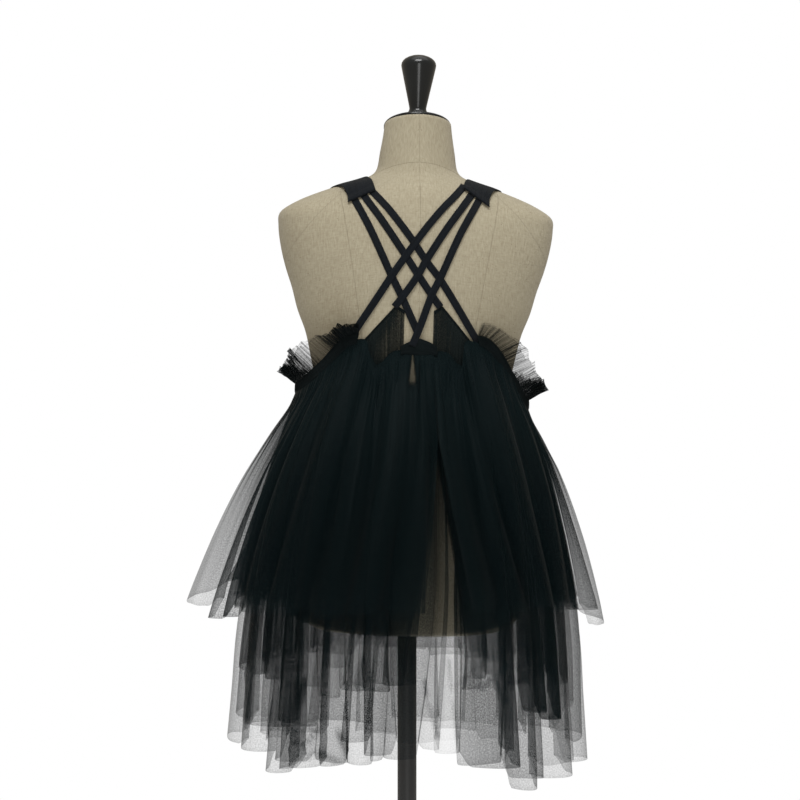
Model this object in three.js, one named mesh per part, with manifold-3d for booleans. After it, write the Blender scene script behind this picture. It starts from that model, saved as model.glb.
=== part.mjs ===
// A tulle suspender skirt, worn by a limbless dress form that stands on a round foot.
// Millimetres, +Z up. The origin is on the floor, on the pole's axis. -Y is the side with the crossed straps,
// the wearer's back, and +X is to the right when looking at it.

import * as THREE from "three";
import { mergeVertices } from "three/addons/utils/BufferGeometryUtils.js";
import Module from "manifold-3d";

const wasm = await Module();
wasm.setup();

// A table's rows as objects with the named columns
function table(columns, rows) {
  return rows.map((row) => Object.fromEntries(columns.map((name, i) => [name, row[i]])));
}

// Driving dimensions
const SEAM_GAP = 0.3; // between two pieces that are sewn together
const TULLE = 1; // wall of a tulle layer
const RIBBON = 0.9; // wall of a back strap
const TORSO_LEAN = THREE.MathUtils.degToRad(1.25); // the torso leans to the right on its pole

const foot = { radius: 160, edge: 7, rise: 15, socketRadius: 24, socketTop: 62, poleGap: 0.3 };
const pole = { radius: 12.8, sides: 28 };
const cap = { radius: 45.5, thickness: 4.5, bevel: 1.6 };
const neck = { topZ: 1439, tilt: THREE.MathUtils.degToRad(16), tiltStartZ: 1378, centreY: 9 };
const finial = {
  flangeRadius: 16.5,
  stemRadius: 11,
  headRadius: 23.5,
  bottomZ: 1436,
  stemZ: 1458,
  topZ: 1530,
};
const bust = { x: 78, z: 1165, rise: 19, spreadX: 44, spreadZ: 52 };

// The torso's level sections: half width, and how far the back and the front stand from the middle plane
const TORSO = table(
  ["z", "halfWidth", "back", "front", "power"],
  [
    [762, 158, 103, 97, 2.3],
    [768, 164, 109, 102, 2.3],
    [790, 169, 117, 107, 2.3],
    [820, 170, 120, 108, 2.25],
    [880, 160, 113, 103, 2.2],
    [940, 138, 94, 97, 2.1],
    [1000, 118, 80, 91, 2.05],
    [1040, 120, 81, 92, 2.05],
    [1080, 128, 85, 96, 2.1],
    [1120, 137, 90, 102, 2.15],
    [1157, 145.5, 94, 107, 2.2],
    [1187, 157, 96, 106, 2.2],
    [1216, 165, 97, 102, 2.3],
    [1246, 175, 96, 95, 2.4],
    [1275, 182, 93, 85, 2.5],
    [1300, 185, 88, 73, 2.6],
    [1316, 183, 83, 64, 2.6],
    [1330, 163, 77, 56, 2.5],
    [1341, 139, 71, 51, 2.4],
    [1352, 109, 63, 46, 2.3],
    [1361, 80, 56, 43, 2.2],
    [1369, 62, 51, 42, 2.1],
    [1378, 54.5, 47, 43, 2.05],
    [1400, 50.5, 41, 47, 2],
    [1420, 47, 37, 51, 2],
    [1439, 44.5, 34, 53, 2],
  ],
);

// The skirt's upper edge round the body, by the angle from the middle of the back, the same on both sides
const TOP_EDGE = table(
  ["angle", "z"],
  [
    [0, 1126],
    [6.3, 1126],
    [12, 1112],
    [17.4, 1104],
    [22, 1110],
    [27.4, 1141],
    [47, 1107],
    [66, 1084],
    [90, 1075],
    [130, 1080],
    [180, 1092],
  ],
);
// The upper edge in plan, loose round the torso
const ring = { halfWidth: 157, back: 98, front: 118, power: 2.3 };
const casing = { width: 12, outer: 0.8, inner: -1.4, fromAngle: 27.4, sideAngle: 78, steps: 96 };
const ruffle = {
  width: 30,
  wall: 1.6,
  waves: 96,
  baseDepth: 0.9,
  edgeDepth: 2.3,
  lean: THREE.MathUtils.degToRad(47),
};
const tab = { fromAngle: -6.2, toAngle: 6.8, height: 11, peak: 11, steps: 8 };

// Each layer's mean distance outside the upper edge, and its folds' depth, by the drop below that edge
const UPPER_FORM = table(
  ["drop", "flare", "fold"],
  [
    [0, 0, 0.1],
    [22, 6.5, 1.3],
    [56, 24, 3.2],
    [121, 54, 7],
    [185, 78, 10],
    [250, 99, 12.5],
    [283, 108.5, 14],
    [340, 124, 15],
  ],
);
const LONG_FORM = table(
  ["drop", "flare", "fold"],
  [
    [0, -1.9, 0.1],
    [22, 2.2, 0.8],
    [56, 11.5, 2.5],
    [121, 30, 6],
    [185, 45, 9],
    [250, 56, 12],
    [331, 65, 14],
    [400, 68.5, 15.5],
    [530, 76, 18],
  ],
);
const MIDDLE_FORM = table(
  ["drop", "flare", "fold"],
  [
    [0, -3.7, 0.1],
    [22, -1.2, 0.6],
    [56, 3.6, 1.5],
    [121, 15, 3.6],
    [185, 24, 5.5],
    [250, 31.5, 7.5],
    [331, 37, 9],
    [440, 38.5, 10],
  ],
);
// first is the drop where a layer begins, hem the height of its lower edge, and lean its extra flare
// to the left
const LAYERS = table(
  ["name", "form", "waves", "rows", "first", "hem", "hemWave", "lean", "slit", "phase", "panels"],
  [
    ["upper_tier", UPPER_FORM, 34, 6, 1, 795, 7, 0.18, 1, 0.4, 3],
    ["long_tier", LONG_FORM, 28, 6, 1, 612, 8, 0.16, 0, 1.9, 2],
    ["middle_tier", MIDDLE_FORM, 24, 4, 1, 702, 9, 0.16, 1.25, 3.1, 3],
  ],
);
// The back's opening: where it starts and is full by drop, and its angles in degrees
const slit = { angle: 5.2, startDrop: 108, fullDrop: 320, toLeft: 5.6, toRight: 8, reach: 26 };
const STATIONS_PER_WAVE = 4;

// The back straps, seen from behind: each point's place, and the inner face's distance from the torso.
// The right ones lie over the left ones where they cross.
const strapWidth = 9;
const strapSteps = 22;
const BACK_STRAPS = {
  left_outer: table(["x", "z", "lift"], [
    [-92, 1344.5, 1.1],
    [-90.5, 1341.7, 1],
    [-77, 1316, 1],
    [-62.8, 1288, 1],
    [-36.3, 1227.9, 1],
    [-22.7, 1200.6, 1.7],
    [-2, 1157, 2.8],
  ]),
  left_middle: table(["x", "z", "lift"], [
    [-81.4, 1350.1, 1.4],
    [-80.3, 1348.4, 1.4],
    [-66, 1325, 1],
    [-52.4, 1305, 1],
    [-18.6, 1252.6, 1],
    [-2.5, 1230.5, 1],
    [15.6, 1204.5, 1.7],
    [27.5, 1189, 2.1],
  ]),
  left_inner: table(["x", "z", "lift"], [
    [-69.9, 1353.6, 1.4],
    [-68.6, 1351.8, 1.4],
    [-56, 1337, 1],
    [-38, 1314, 1],
    [-12, 1278, 1],
    [8.8, 1247.4, 1],
    [26.2, 1225.3, 1],
    [55, 1183, 1.8],
    [72, 1159, 3],
  ]),
  right_outer: table(["x", "z", "lift"], [
    [86, 1341, 1],
    [84, 1337.4, 1],
    [72.5, 1314, 2.3],
    [57, 1284, 2.4],
    [26.2, 1225.3, 2.5],
    [15.6, 1204.5, 3.2],
    [0.5, 1161, 4.9],
    [-8.7, 1138, 7.4],
  ]),
  right_middle: table(["x", "z", "lift"], [
    [75.8, 1348, 1],
    [73.6, 1344.2, 1],
    [60, 1323, 2],
    [40, 1292, 2.4],
    [8.8, 1247.4, 2.4],
    [-2.5, 1230.5, 2.4],
    [-22.7, 1200.6, 3.5],
    [-32.5, 1188, 2.4],
  ]),
  right_inner: table(["x", "z", "lift"], [
    [65.5, 1354, 1.3],
    [63.4, 1351, 1.2],
    [50, 1336, 1.6],
    [32, 1318, 2.2],
    [11.4, 1297, 2.4],
    [-4.2, 1278, 2.4],
    [-34.8, 1233, 2.4],
    [-60.7, 1191, 2],
    [-75, 1168, 3],
  ]),
};

// The wide strap's middle line: round the shoulder by the angle from straight up, positive towards the front,
// then down the front by height. lift is the inner face's distance from the torso.
const shoulderStrap = {
  width: 45,
  wall: 1.2,
  pivotY: -8,
  pivotZ: 1290,
  steps: 5,
  endZ: 1097,
  frontLift: 1.4,
};
const OVER_SHOULDER = table(
  ["angle", "x", "lift"],
  [
    [-54, 78, 3.2],
    [-45, 80.5, 4.2],
    [-36, 83, 4],
    [-27, 85.5, 2.4],
    [-18, 88, 1.2],
    [-9, 90, 1.2],
    [0, 92, 1.2],
    [12, 94.5, 1.2],
    [24, 96, 1.2],
    [38, 97, 1.2],
    [54, 98, 1.2],
    [72, 98, 1.4],
  ],
);
const DOWN_CHEST = table(
  ["z", "x"],
  [
    [1288, 98],
    [1262, 98],
    [1236, 97],
    [1212, 95],
    [1188, 93],
    [shoulderStrap.endZ + 68, 90],
    [shoulderStrap.endZ + 34, 86],
    [shoulderStrap.endZ, 82],
  ],
);

// The sheer pointed panel on each side of the middle of the back, by x and z as seen from behind
const panel = {
  innerX: 19,
  peakX: 30,
  outerX: 76,
  peakZ: 1191,
  innerTopZ: 1184,
  outerZ: 1139,
  bottomZ: 1098,
  lift: 0.6,
  wall: 0.9,
};
const binding = { width: 5, lift: 0.6, wall: 0.9 };

// Reads a table's column at a value of its key, on a smooth curve through the rows
function read(table, key, at, column) {
  const last = table.length - 1;
  if (at <= table[0][key]) return table[0][column];
  if (at >= table[last][key]) return table[last][column];
  const i = table.findIndex((row) => row[key] > at) - 1;
  const slope = (k) => {
    const a = table[Math.max(k - 1, 0)];
    const b = table[Math.min(k + 1, last)];
    return (b[column] - a[column]) / (b[key] - a[key]);
  };
  const from = table[i];
  const to = table[i + 1];
  const span = to[key] - from[key];
  const t = (at - from[key]) / span;
  const rise = t * t * (3 - 2 * t);
  const bend = t * (1 - t) * ((1 - t) * slope(i) - t * slope(i + 1));
  return from[column] + (to[column] - from[column]) * rise + span * bend;
}

const rad = THREE.MathUtils.degToRad;
const point = (x, y, z) => new THREE.Vector3(x, y, z);
const signedPower = (value, power) => Math.sign(value) * Math.abs(value) ** power;
const range = (count) => Array.from({ length: count }, (_, i) => i);
const mix = (a, b, t) => a + (b - a) * t;

// The torso's surface as a height field, seen from behind and from the front
function bustRise(x, z) {
  const dx = (Math.abs(x) - bust.x) / bust.spreadX;
  const dz = (z - bust.z) / bust.spreadZ;
  return bust.rise * Math.exp(-dx * dx - dz * dz);
}
function share(x, z) {
  const half = read(TORSO, "z", z, "halfWidth");
  const power = read(TORSO, "z", z, "power");
  const rest = 1 - (Math.abs(x) / half) ** power;
  return rest > 0 ? rest ** (1 / power) : 0;
}
const backOfTorso = (x, z) => -read(TORSO, "z", z, "back") * share(x, z);
const frontOfTorso = (x, z) => (read(TORSO, "z", z, "front") + bustRise(x, z)) * share(x, z);
const onBack = (x, z) => point(x, backOfTorso(x, z), z);
const outOfBack = () => point(0, -1, 0);
const insideTorso = (x, y, z) => share(x, z) > 0 && y > backOfTorso(x, z) && y < frontOfTorso(x, z);

// Closed solids from grids and rings
function solid(name, vertices, triangles, material) {
  const geometry = new THREE.BufferGeometry();
  const numbers = vertices.flatMap((v) => [v.x, v.y, v.z]);
  geometry.setAttribute("position", new THREE.Float32BufferAttribute(numbers, 3));
  geometry.setIndex(triangles.flat());
  geometry.computeVertexNormals();
  const mesh = new THREE.Mesh(geometry, material);
  mesh.name = name;
  return mesh;
}

// A wall between two grids of points with the same rows and columns, closed along its four edges
function wall(name, outer, inner, material) {
  const rows = outer.length;
  const columns = outer[0].length;
  const vertices = [...outer.flat(), ...inner.flat()];
  const at = (side, r, c) => side * rows * columns + r * columns + c;
  const triangles = [];
  const quad = (a, b, c, d) => triangles.push([a, b, c], [a, c, d]);
  for (let r = 0; r < rows - 1; r++)
    for (let c = 0; c < columns - 1; c++) {
      quad(at(0, r, c), at(0, r + 1, c), at(0, r + 1, c + 1), at(0, r, c + 1));
      quad(at(1, r, c), at(1, r, c + 1), at(1, r + 1, c + 1), at(1, r + 1, c));
    }
  for (let c = 0; c < columns - 1; c++) {
    quad(at(0, 0, c), at(0, 0, c + 1), at(1, 0, c + 1), at(1, 0, c));
    quad(at(0, rows - 1, c + 1), at(0, rows - 1, c), at(1, rows - 1, c), at(1, rows - 1, c + 1));
  }
  for (let r = 0; r < rows - 1; r++) {
    quad(at(0, r + 1, 0), at(0, r, 0), at(1, r, 0), at(1, r + 1, 0));
    quad(at(0, r, columns - 1), at(0, r + 1, columns - 1), at(1, r + 1, columns - 1), at(1, r, columns - 1));
  }
  const made = solid(name, vertices, triangles, material);
  return volume(made.geometry) < 0 ? wall(name, inner, outer, material) : made;
}

function volume(geometry) {
  const p = geometry.getAttribute("position");
  const index = geometry.getIndex();
  const [a, b, c] = [point(), point(), point()];
  let sum = 0;
  for (let i = 0; i < index.count; i += 3) {
    a.fromBufferAttribute(p, index.getX(i));
    b.fromBufferAttribute(p, index.getX(i + 1));
    c.fromBufferAttribute(p, index.getX(i + 2));
    sum += a.dot(b.cross(c)) / 6;
  }
  return sum;
}

// A closed body through level rings of points, with a flat fan at each end
function loft(name, rings, material) {
  const sides = rings[0].length;
  const middle = (loop) => loop.reduce((sum, v) => sum.add(v), point(0, 0, 0)).divideScalar(sides);
  const vertices = [...rings.flat(), middle(rings[0]), middle(rings.at(-1))];
  const bottom = rings.length * sides;
  const top = bottom - sides;
  const triangles = [];
  for (let r = 0; r < rings.length - 1; r++)
    for (let s = 0; s < sides; s++) {
      const next = (s + 1) % sides;
      const [a, b] = [r * sides + s, r * sides + next];
      triangles.push([a, b, b + sides], [a, b + sides, a + sides]);
    }
  for (let s = 0; s < sides; s++) {
    const next = (s + 1) % sides;
    triangles.push([bottom, next, s], [bottom + 1, top + s, top + next]);
  }
  return solid(name, vertices, triangles, material);
}

// A grid's points moved along its own normals; toward is a direction that the normals lean to
function moved(grid, distance, toward) {
  const rows = grid.length;
  const columns = grid[0].length;
  return grid.map((row, r) =>
    row.map((v, c) => {
      const along = grid[Math.min(r + 1, rows - 1)][c].clone().sub(grid[Math.max(r - 1, 0)][c]);
      const across = row[Math.min(c + 1, columns - 1)].clone().sub(row[Math.max(c - 1, 0)]);
      const normal = along.cross(across).normalize();
      if (normal.dot(toward(v)) < 0) normal.negate();
      return v.clone().addScaledVector(normal, typeof distance === "number" ? distance : distance(r, c));
    }),
  );
}

// Materials
function shade(color, roughness, metalness = 0) {
  return new THREE.MeshStandardMaterial({ color, roughness, metalness });
}
const LINEN = shade(0xa59c84, 0.9);
const BLACK_GLOSS = shade(0x0d0f10, 0.2);
const BLACK_STEEL = shade(0x141516, 0.45, 0.6);
const TULLE_BLACK = shade(0x11161a, 0.8);
const STRAP_BLACK = shade(0x171a20, 0.6);
const RIBBON_BLACK = shade(0x12151a, 0.75);

// The stand: a round foot with a socket, the pole, and the torso with its cap and finial
function footPlate() {
  const profile = [
    [0, 0],
    [foot.radius, 0],
    [foot.radius, foot.edge],
    [foot.radius - 4, foot.edge + 2],
    [foot.socketRadius + 8, foot.rise],
    [foot.socketRadius, foot.rise + 5],
    [foot.socketRadius - 4, foot.socketTop],
    [pole.radius + foot.poleGap, foot.socketTop],
    [pole.radius + foot.poleGap, foot.edge],
    [0, foot.edge],
  ].map(([r, z]) => new THREE.Vector2(r, z));
  const mesh = new THREE.Mesh(new THREE.LatheGeometry(profile, 40), BLACK_STEEL);
  mesh.name = "foot_plate";
  mesh.rotation.x = Math.PI / 2;
  return mesh;
}

function poleTube() {
  const bottom = foot.edge + SEAM_GAP;
  const top = TORSO[0].z - SEAM_GAP - pole.radius * Math.sin(TORSO_LEAN);
  const geometry = new THREE.CylinderGeometry(pole.radius, pole.radius, top - bottom, pole.sides);
  const mesh = new THREE.Mesh(geometry, BLACK_STEEL);
  mesh.name = "pole";
  mesh.rotation.x = Math.PI / 2;
  mesh.position.z = (top + bottom) / 2;
  return mesh;
}

function torsoRing(z, sides) {
  const columns = ["halfWidth", "back", "front", "power"];
  const [half, back, front, power] = columns.map((column) => read(TORSO, "z", z, column));
  const tilt = z <= neck.tiltStartZ ? 0 : (neck.tilt * (z - neck.tiltStartZ)) / (neck.topZ - neck.tiltStartZ);
  return range(sides).map((i) => {
    const angle = (2 * Math.PI * i) / sides;
    const x = half * signedPower(Math.sin(angle), 2 / power);
    const reach = signedPower(-Math.cos(angle), 2 / power);
    const y = reach < 0 ? back * reach : (front + bustRise(x, z)) * reach;
    return point(x, y, z - (y - neck.centreY) * Math.tan(tilt));
  });
}

// The shoulders turn in sharply, so their sections lie closer
const TORSO_SIDES = 36;
const shoulders = { fromZ: 1300, toZ: 1378 };
function torso() {
  const levels = TORSO.flatMap(({ z }, i) => {
    const close = z >= shoulders.fromZ && z < shoulders.toZ;
    return close ? [z, (z + TORSO[i + 1].z) / 2] : [z];
  });
  return loft("torso", levels.map((z) => torsoRing(z, TORSO_SIDES)), LINEN);
}

// The cap lies on the neck's slanted top, in a group that is turned with it
function neckCap() {
  const profile = [
    [0, 0],
    [cap.radius, 0],
    [cap.radius, cap.thickness - cap.bevel],
    [cap.radius - cap.bevel, cap.thickness],
    [0, cap.thickness + 1],
  ].map(([r, z]) => new THREE.Vector2(r, z));
  const mesh = new THREE.Mesh(new THREE.LatheGeometry(profile, 32), BLACK_GLOSS);
  mesh.name = "neck_cap";
  mesh.rotation.x = Math.PI / 2;
  mesh.position.z = SEAM_GAP;
  const slanted = new THREE.Group();
  slanted.position.set(0, neck.centreY, neck.topZ);
  slanted.rotation.x = -neck.tilt;
  slanted.add(mesh);
  return slanted;
}

function asManifold(mesh) {
  mesh.updateMatrixWorld(true);
  const bare = new THREE.BufferGeometry().setAttribute("position", mesh.geometry.getAttribute("position"));
  if (mesh.geometry.index) bare.setIndex(mesh.geometry.index);
  const merged = mergeVertices(bare.applyMatrix4(mesh.matrixWorld), 1e-3);
  return new wasm.Manifold(
    new wasm.Mesh({
      numProp: 3,
      vertProperties: merged.getAttribute("position").array,
      triVerts: new Uint32Array(merged.index.array),
    }),
  );
}

// The finial is turned, and its flange is cut to the cap's slant
function finialKnob() {
  const f = finial;
  const profile = [
    [0, f.bottomZ - 12],
    [f.flangeRadius, f.bottomZ - 12],
    [f.flangeRadius, f.bottomZ + 16],
    [f.flangeRadius - 3, f.bottomZ + 19],
    [f.stemRadius, f.stemZ],
    [f.stemRadius + 0.6, f.stemZ + 8],
    [mix(f.stemRadius, f.headRadius, 0.5), mix(f.stemZ, f.topZ, 0.48)],
    [f.headRadius - 0.6, f.topZ - 12],
    [f.headRadius, f.topZ - 7],
    [f.headRadius - 1.4, f.topZ - 2.5],
    [f.headRadius - 5, f.topZ],
    [0, f.topZ + 1],
  ].map(([r, z]) => new THREE.Vector2(r, z));
  const turned = new THREE.Mesh(new THREE.LatheGeometry(profile, 28));
  turned.rotation.x = Math.PI / 2;
  turned.position.y = neck.centreY;
  const below = new THREE.Mesh(new THREE.BoxGeometry(120, 120, 60));
  const slanted = new THREE.Group();
  slanted.position.set(0, neck.centreY, neck.topZ);
  slanted.rotation.x = -neck.tilt;
  below.position.z = cap.thickness + 1 + 2 * SEAM_GAP - 30;
  slanted.add(below);
  slanted.updateMatrixWorld(true);
  const cut = asManifold(turned).subtract(asManifold(below)).getMesh();
  const vertices = range(cut.numVert).map((i) => point(...cut.vertProperties.slice(i * 3, i * 3 + 3)));
  const triangles = range(cut.numTri).map((i) => [...cut.triVerts.slice(i * 3, i * 3 + 3)]);
  return solid("finial", vertices, triangles, BLACK_GLOSS);
}

// A narrow strap follows the back's surface, at its own lift
function backStrap(name, points) {
  const line = new THREE.CatmullRomCurve3(points.map((p) => point(p.x, p.lift, p.z)), false, "centripetal");
  const centres = line.getSpacedPoints(strapSteps);
  const surface = centres.map((c, i) => {
    const ahead = centres[Math.min(i + 1, strapSteps)].clone().sub(centres[Math.max(i - 1, 0)]);
    const across = point(ahead.z, 0, -ahead.x).normalize().multiplyScalar(strapWidth / 2);
    return [-1, 1].map((s) => onBack(c.x + s * across.x, c.z + s * across.z));
  });
  const inner = moved(surface, (r) => centres[r].y, outOfBack);
  const outer = moved(surface, (r) => centres[r].y + RIBBON, outOfBack);
  return wall(`back_strap_${name}`, outer, inner, STRAP_BLACK);
}

// The wide strap over the shoulder: its back end covers the narrow straps, and its front end goes behind
// the casing
function rayToTorso(x, angle) {
  const { pivotY, pivotZ } = shoulderStrap;
  let [near, far] = [0, 120];
  for (let i = 0; i < 40; i++) {
    const middle = (near + far) / 2;
    const hit = insideTorso(x, pivotY + middle * Math.sin(angle), pivotZ + middle * Math.cos(angle));
    [near, far] = hit ? [middle, far] : [near, middle];
  }
  return point(x, pivotY + near * Math.sin(angle), pivotZ + near * Math.cos(angle));
}

function shoulderBand(side) {
  const { width, wall: thickness, steps, frontLift } = shoulderStrap;
  const across = range(steps + 1).map((i) => width * (i / steps - 0.5));
  const overShoulder = OVER_SHOULDER.map((row) =>
    across.map((s) => rayToTorso(side * (row.x + s), rad(row.angle))),
  );
  const behindCasing = casing.inner - 4 * SEAM_GAP - thickness - frontLift;
  const downChest = DOWN_CHEST.map((row) =>
    across.map((s) => {
      const x = side * (row.x + s);
      const onBody = frontOfTorso(x, row.z);
      const edge = ringPoint(frontAngle(x), behindCasing).y;
      const hung = mix(frontOfTorso(x, bust.z), edge, (bust.z - row.z) / (bust.z - shoulderStrap.endZ));
      return point(x, row.z < bust.z ? Math.max(onBody, hung) : onBody, row.z);
    }),
  );
  const surface = [...overShoulder, ...downChest];
  const lift = (r) => (r < OVER_SHOULDER.length ? OVER_SHOULDER[r].lift : frontLift);
  const away = (v) => point(0, v.y - shoulderStrap.pivotY, Math.max(0, v.z - shoulderStrap.pivotZ));
  return wall(
    `shoulder_strap_${side < 0 ? "left" : "right"}`,
    moved(surface, (r) => lift(r) + thickness, away),
    moved(surface, lift, away),
    STRAP_BLACK,
  );
}

// The upper edge in plan at an angle from the middle of the back, moved out by a distance
function ringPoint(angle, out, z = 0) {
  const depth = Math.cos(angle) > 0 ? ring.back : ring.front;
  return point(
    (ring.halfWidth + out) * signedPower(Math.sin(angle), 2 / ring.power),
    -(depth + out) * signedPower(Math.cos(angle), 2 / ring.power),
    z,
  );
}
function frontAngle(x) {
  return Math.PI - Math.sign(x) * Math.asin((Math.abs(x) / ring.halfWidth) ** (ring.power / 2));
}
function topZ(angle) {
  const degrees = Math.abs(THREE.MathUtils.radToDeg(Math.atan2(Math.sin(angle), Math.cos(angle))));
  return read(TOP_EDGE, "angle", degrees, "z");
}

// The frame of the upper edge at an angle: its point, the level direction outward, and the way up the cloth
function edgeFrame(angle) {
  const step = 0.01;
  const on = (a) => ringPoint(a, 0, topZ(a));
  const along = on(angle + step).sub(on(angle - step)).normalize();
  const out = point(along.y, -along.x, 0).normalize();
  if (out.dot(ringPoint(angle, 0)) < 0) out.negate();
  const up = out.clone().cross(along).normalize();
  if (up.z < 0) up.negate();
  return { at: on(angle), out, up };
}

// Stretches of the casing and the ruffle: the back's left and right, and the front, parted at the side seams
const STRETCHES = [
  { name: "left", from: -casing.sideAngle, to: -casing.fromAngle },
  { name: "right", from: casing.fromAngle, to: casing.sideAngle },
  { name: "front", from: casing.sideAngle, to: 360 - casing.sideAngle },
];
const seamStep = SEAM_GAP / 2 / ring.back;

function casingBand(stretch) {
  const [from, to] = [rad(stretch.from) + seamStep, rad(stretch.to) - seamStep];
  const count = Math.ceil((casing.steps * (to - from)) / (2 * Math.PI));
  const frames = range(count + 1).map((i) => edgeFrame(mix(from, to, i / count)));
  const rows = [0, casing.width];
  const grid = (out) =>
    rows.map((w) => frames.map((f) => f.at.clone().addScaledVector(f.up, w).addScaledVector(f.out, out)));
  return wall(`casing_${stretch.name}`, grid(casing.outer), grid(casing.inner), RIBBON_BLACK);
}

// The ruffle stands out above the casing in sharp pleats
function ruffleFrill(stretch) {
  const [from, to] = [rad(stretch.from) + seamStep, rad(stretch.to) - seamStep];
  const total = 2 * Math.PI - 2 * rad(casing.fromAngle);
  const count = Math.round((2 * ruffle.waves * (to - from)) / total);
  const frames = range(count + 1).map((i) => {
    return { ...edgeFrame(mix(from, to, i / count)), side: i % 2 ? 1 : -1, i };
  });
  const grid = (depth) =>
    [0, 1].map((row) =>
      frames.map((f) => {
        const uneven = 1 + 0.1 * Math.sin(f.i * 1.7) + 0.07 * Math.sin(f.i * 0.61);
        const length = row ? ruffle.width * uneven : 0;
        const fold = f.side * (row ? ruffle.edgeDepth : ruffle.baseDepth);
        return f.at
          .clone()
          .addScaledVector(f.up, casing.width + SEAM_GAP + length * Math.cos(ruffle.lean))
          .addScaledVector(f.out, length * Math.sin(ruffle.lean) + fold + depth);
      }),
    );
  return wall(`ruffle_${stretch.name}`, grid(ruffle.wall / 2), grid(-ruffle.wall / 2), TULLE_BLACK);
}

// The short band at the middle of the back, which takes the two outer straps
function centreTab() {
  const angles = range(tab.steps + 1).map((i) => rad(mix(tab.fromAngle, tab.toAngle, i / tab.steps)));
  const grid = (out) =>
    [0, 1].map((row) =>
      angles.map((a, i) => {
        const peak = tab.peak * (1 - Math.abs((2 * i) / tab.steps - 1));
        return ringPoint(a, out, topZ(a) + row * (tab.height + peak));
      }),
    );
  return wall("centre_tab", grid(casing.outer), grid(casing.inner), RIBBON_BLACK);
}

// The sheer pointed panels and their bound upper edges
function panelEdgeZ(x) {
  const { innerX, peakX, outerX, innerTopZ, peakZ, outerZ } = panel;
  return x < peakX
    ? mix(innerTopZ, peakZ, (x - innerX) / (peakX - innerX))
    : mix(peakZ, outerZ, (x - peakX) / (outerX - peakX));
}
function backPanel(side) {
  const columns = [panel.innerX, 24.5, panel.peakX, 41, 53, 65, panel.outerX];
  const rows = 5;
  const surface = range(rows + 1).map((r) =>
    columns.map((x) => {
      const top = panelEdgeZ(x) - binding.width - SEAM_GAP;
      return onBack(side * x, mix(panel.bottomZ, top, r / rows));
    }),
  );
  const outer = moved(surface, panel.lift + panel.wall, outOfBack);
  const inner = moved(surface, panel.lift, outOfBack);
  return wall(`back_panel_${side < 0 ? "left" : "right"}`, outer, inner, TULLE_BLACK);
}

function panelBinding(side) {
  const columns = [panel.innerX, 24.5, panel.peakX, 37, 45, 53, 61, 69, panel.outerX];
  const rows = [-binding.width, 0];
  const surface = rows.map((drop) => columns.map((x) => onBack(side * x, panelEdgeZ(x) + drop)));
  const outer = moved(surface, binding.lift + binding.wall, outOfBack);
  const inner = moved(surface, binding.lift, outOfBack);
  return wall(`panel_binding_${side < 0 ? "left" : "right"}`, outer, inner, RIBBON_BLACK);
}

// The skirt's layers. u runs once round from the slit, and the angle at u is uneven, so that no two folds
// match.
function slitShift(layer, angle, drop) {
  if (!layer.slit) return 0;
  const opened = THREE.MathUtils.clamp((drop - slit.startDrop) / (slit.fullDrop - slit.startDrop), 0, 1.3);
  const from = angle - rad(slit.angle);
  const toRight = from < Math.PI ? from : 0;
  const toLeft = from < Math.PI ? 0 : 2 * Math.PI - from;
  const fade = Math.exp(-(toRight + toLeft) / rad(slit.reach));
  return layer.slit * opened * fade * (from < Math.PI ? rad(slit.toRight) : -rad(slit.toLeft));
}

function layerPoint(layer, u, drop, hemShare, depth) {
  const uneven = 0.035 * Math.sin(3 * u + layer.phase) + 0.022 * Math.sin(7 * u + 2 * layer.phase);
  const closed = Math.sin(u / 2) ** 2; // keeps both ends of the slit in place
  const base = rad(slit.angle) + u + uneven * Math.min(1, 6 * closed);
  const angle = base + slitShift(layer, base, drop);
  const side = 1 - layer.lean * Math.sin(angle);
  const uplift = 1 + 0.22 * Math.sin(2 * u + 3 * layer.phase) + 0.16 * Math.sin(5 * u + layer.phase);
  const fold = read(layer.form, "drop", drop, "fold") * Math.min(1, uplift);
  const wave = fold * Math.cos(layer.waves * u + Math.PI / 4);
  const flare = read(layer.form, "drop", drop, "flare");
  const lean = flare > 0 ? side : 1;
  const out = flare * lean + wave * (flare > 0 ? Math.min(side, 1) : 1) + depth;
  const unevenHem = Math.sin(4 * u + layer.phase) + 0.6 * Math.sin(9 * u + 2 * layer.phase);
  const hemWave = layer.hemWave * unevenHem * hemShare ** 2;
  return ringPoint(angle, out, topZ(angle) - drop + hemWave);
}

function layerPanel(layer, name, first, last) {
  const stations = layer.waves * STATIONS_PER_WAVE;
  const us = range(last - first + 1).map((i) => (2 * Math.PI * (first + i)) / stations);
  us[0] += 1.5 * seamStep;
  us[us.length - 1] -= 1.5 * seamStep;
  const grid = (depth) =>
    range(layer.rows + 1).map((r) =>
      us.map((u) => {
        const s = (r / layer.rows) ** 1.15;
        const fullDrop = topZ(rad(slit.angle) + u) - layer.hem;
        return layerPoint(layer, u, mix(layer.first, fullDrop, s), s, depth);
      }),
    );
  return wall(`${layer.name}_${name}`, grid(0), grid(-TULLE), TULLE_BLACK);
}

function layerPanels(layer) {
  const stations = layer.waves * STATIONS_PER_WAVE;
  const [rightSeam, leftSeam] = [Math.round(stations * 0.24), Math.round(stations * 0.73)];
  const front = layerPanel(layer, "front", rightSeam, leftSeam);
  if (layer.panels === 2) return [front, layerPanel(layer, "back", leftSeam, rightSeam + stations)];
  return [
    layerPanel(layer, "back_right", 0, rightSeam),
    front,
    layerPanel(layer, "back_left", leftSeam, stations),
  ];
}

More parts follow.
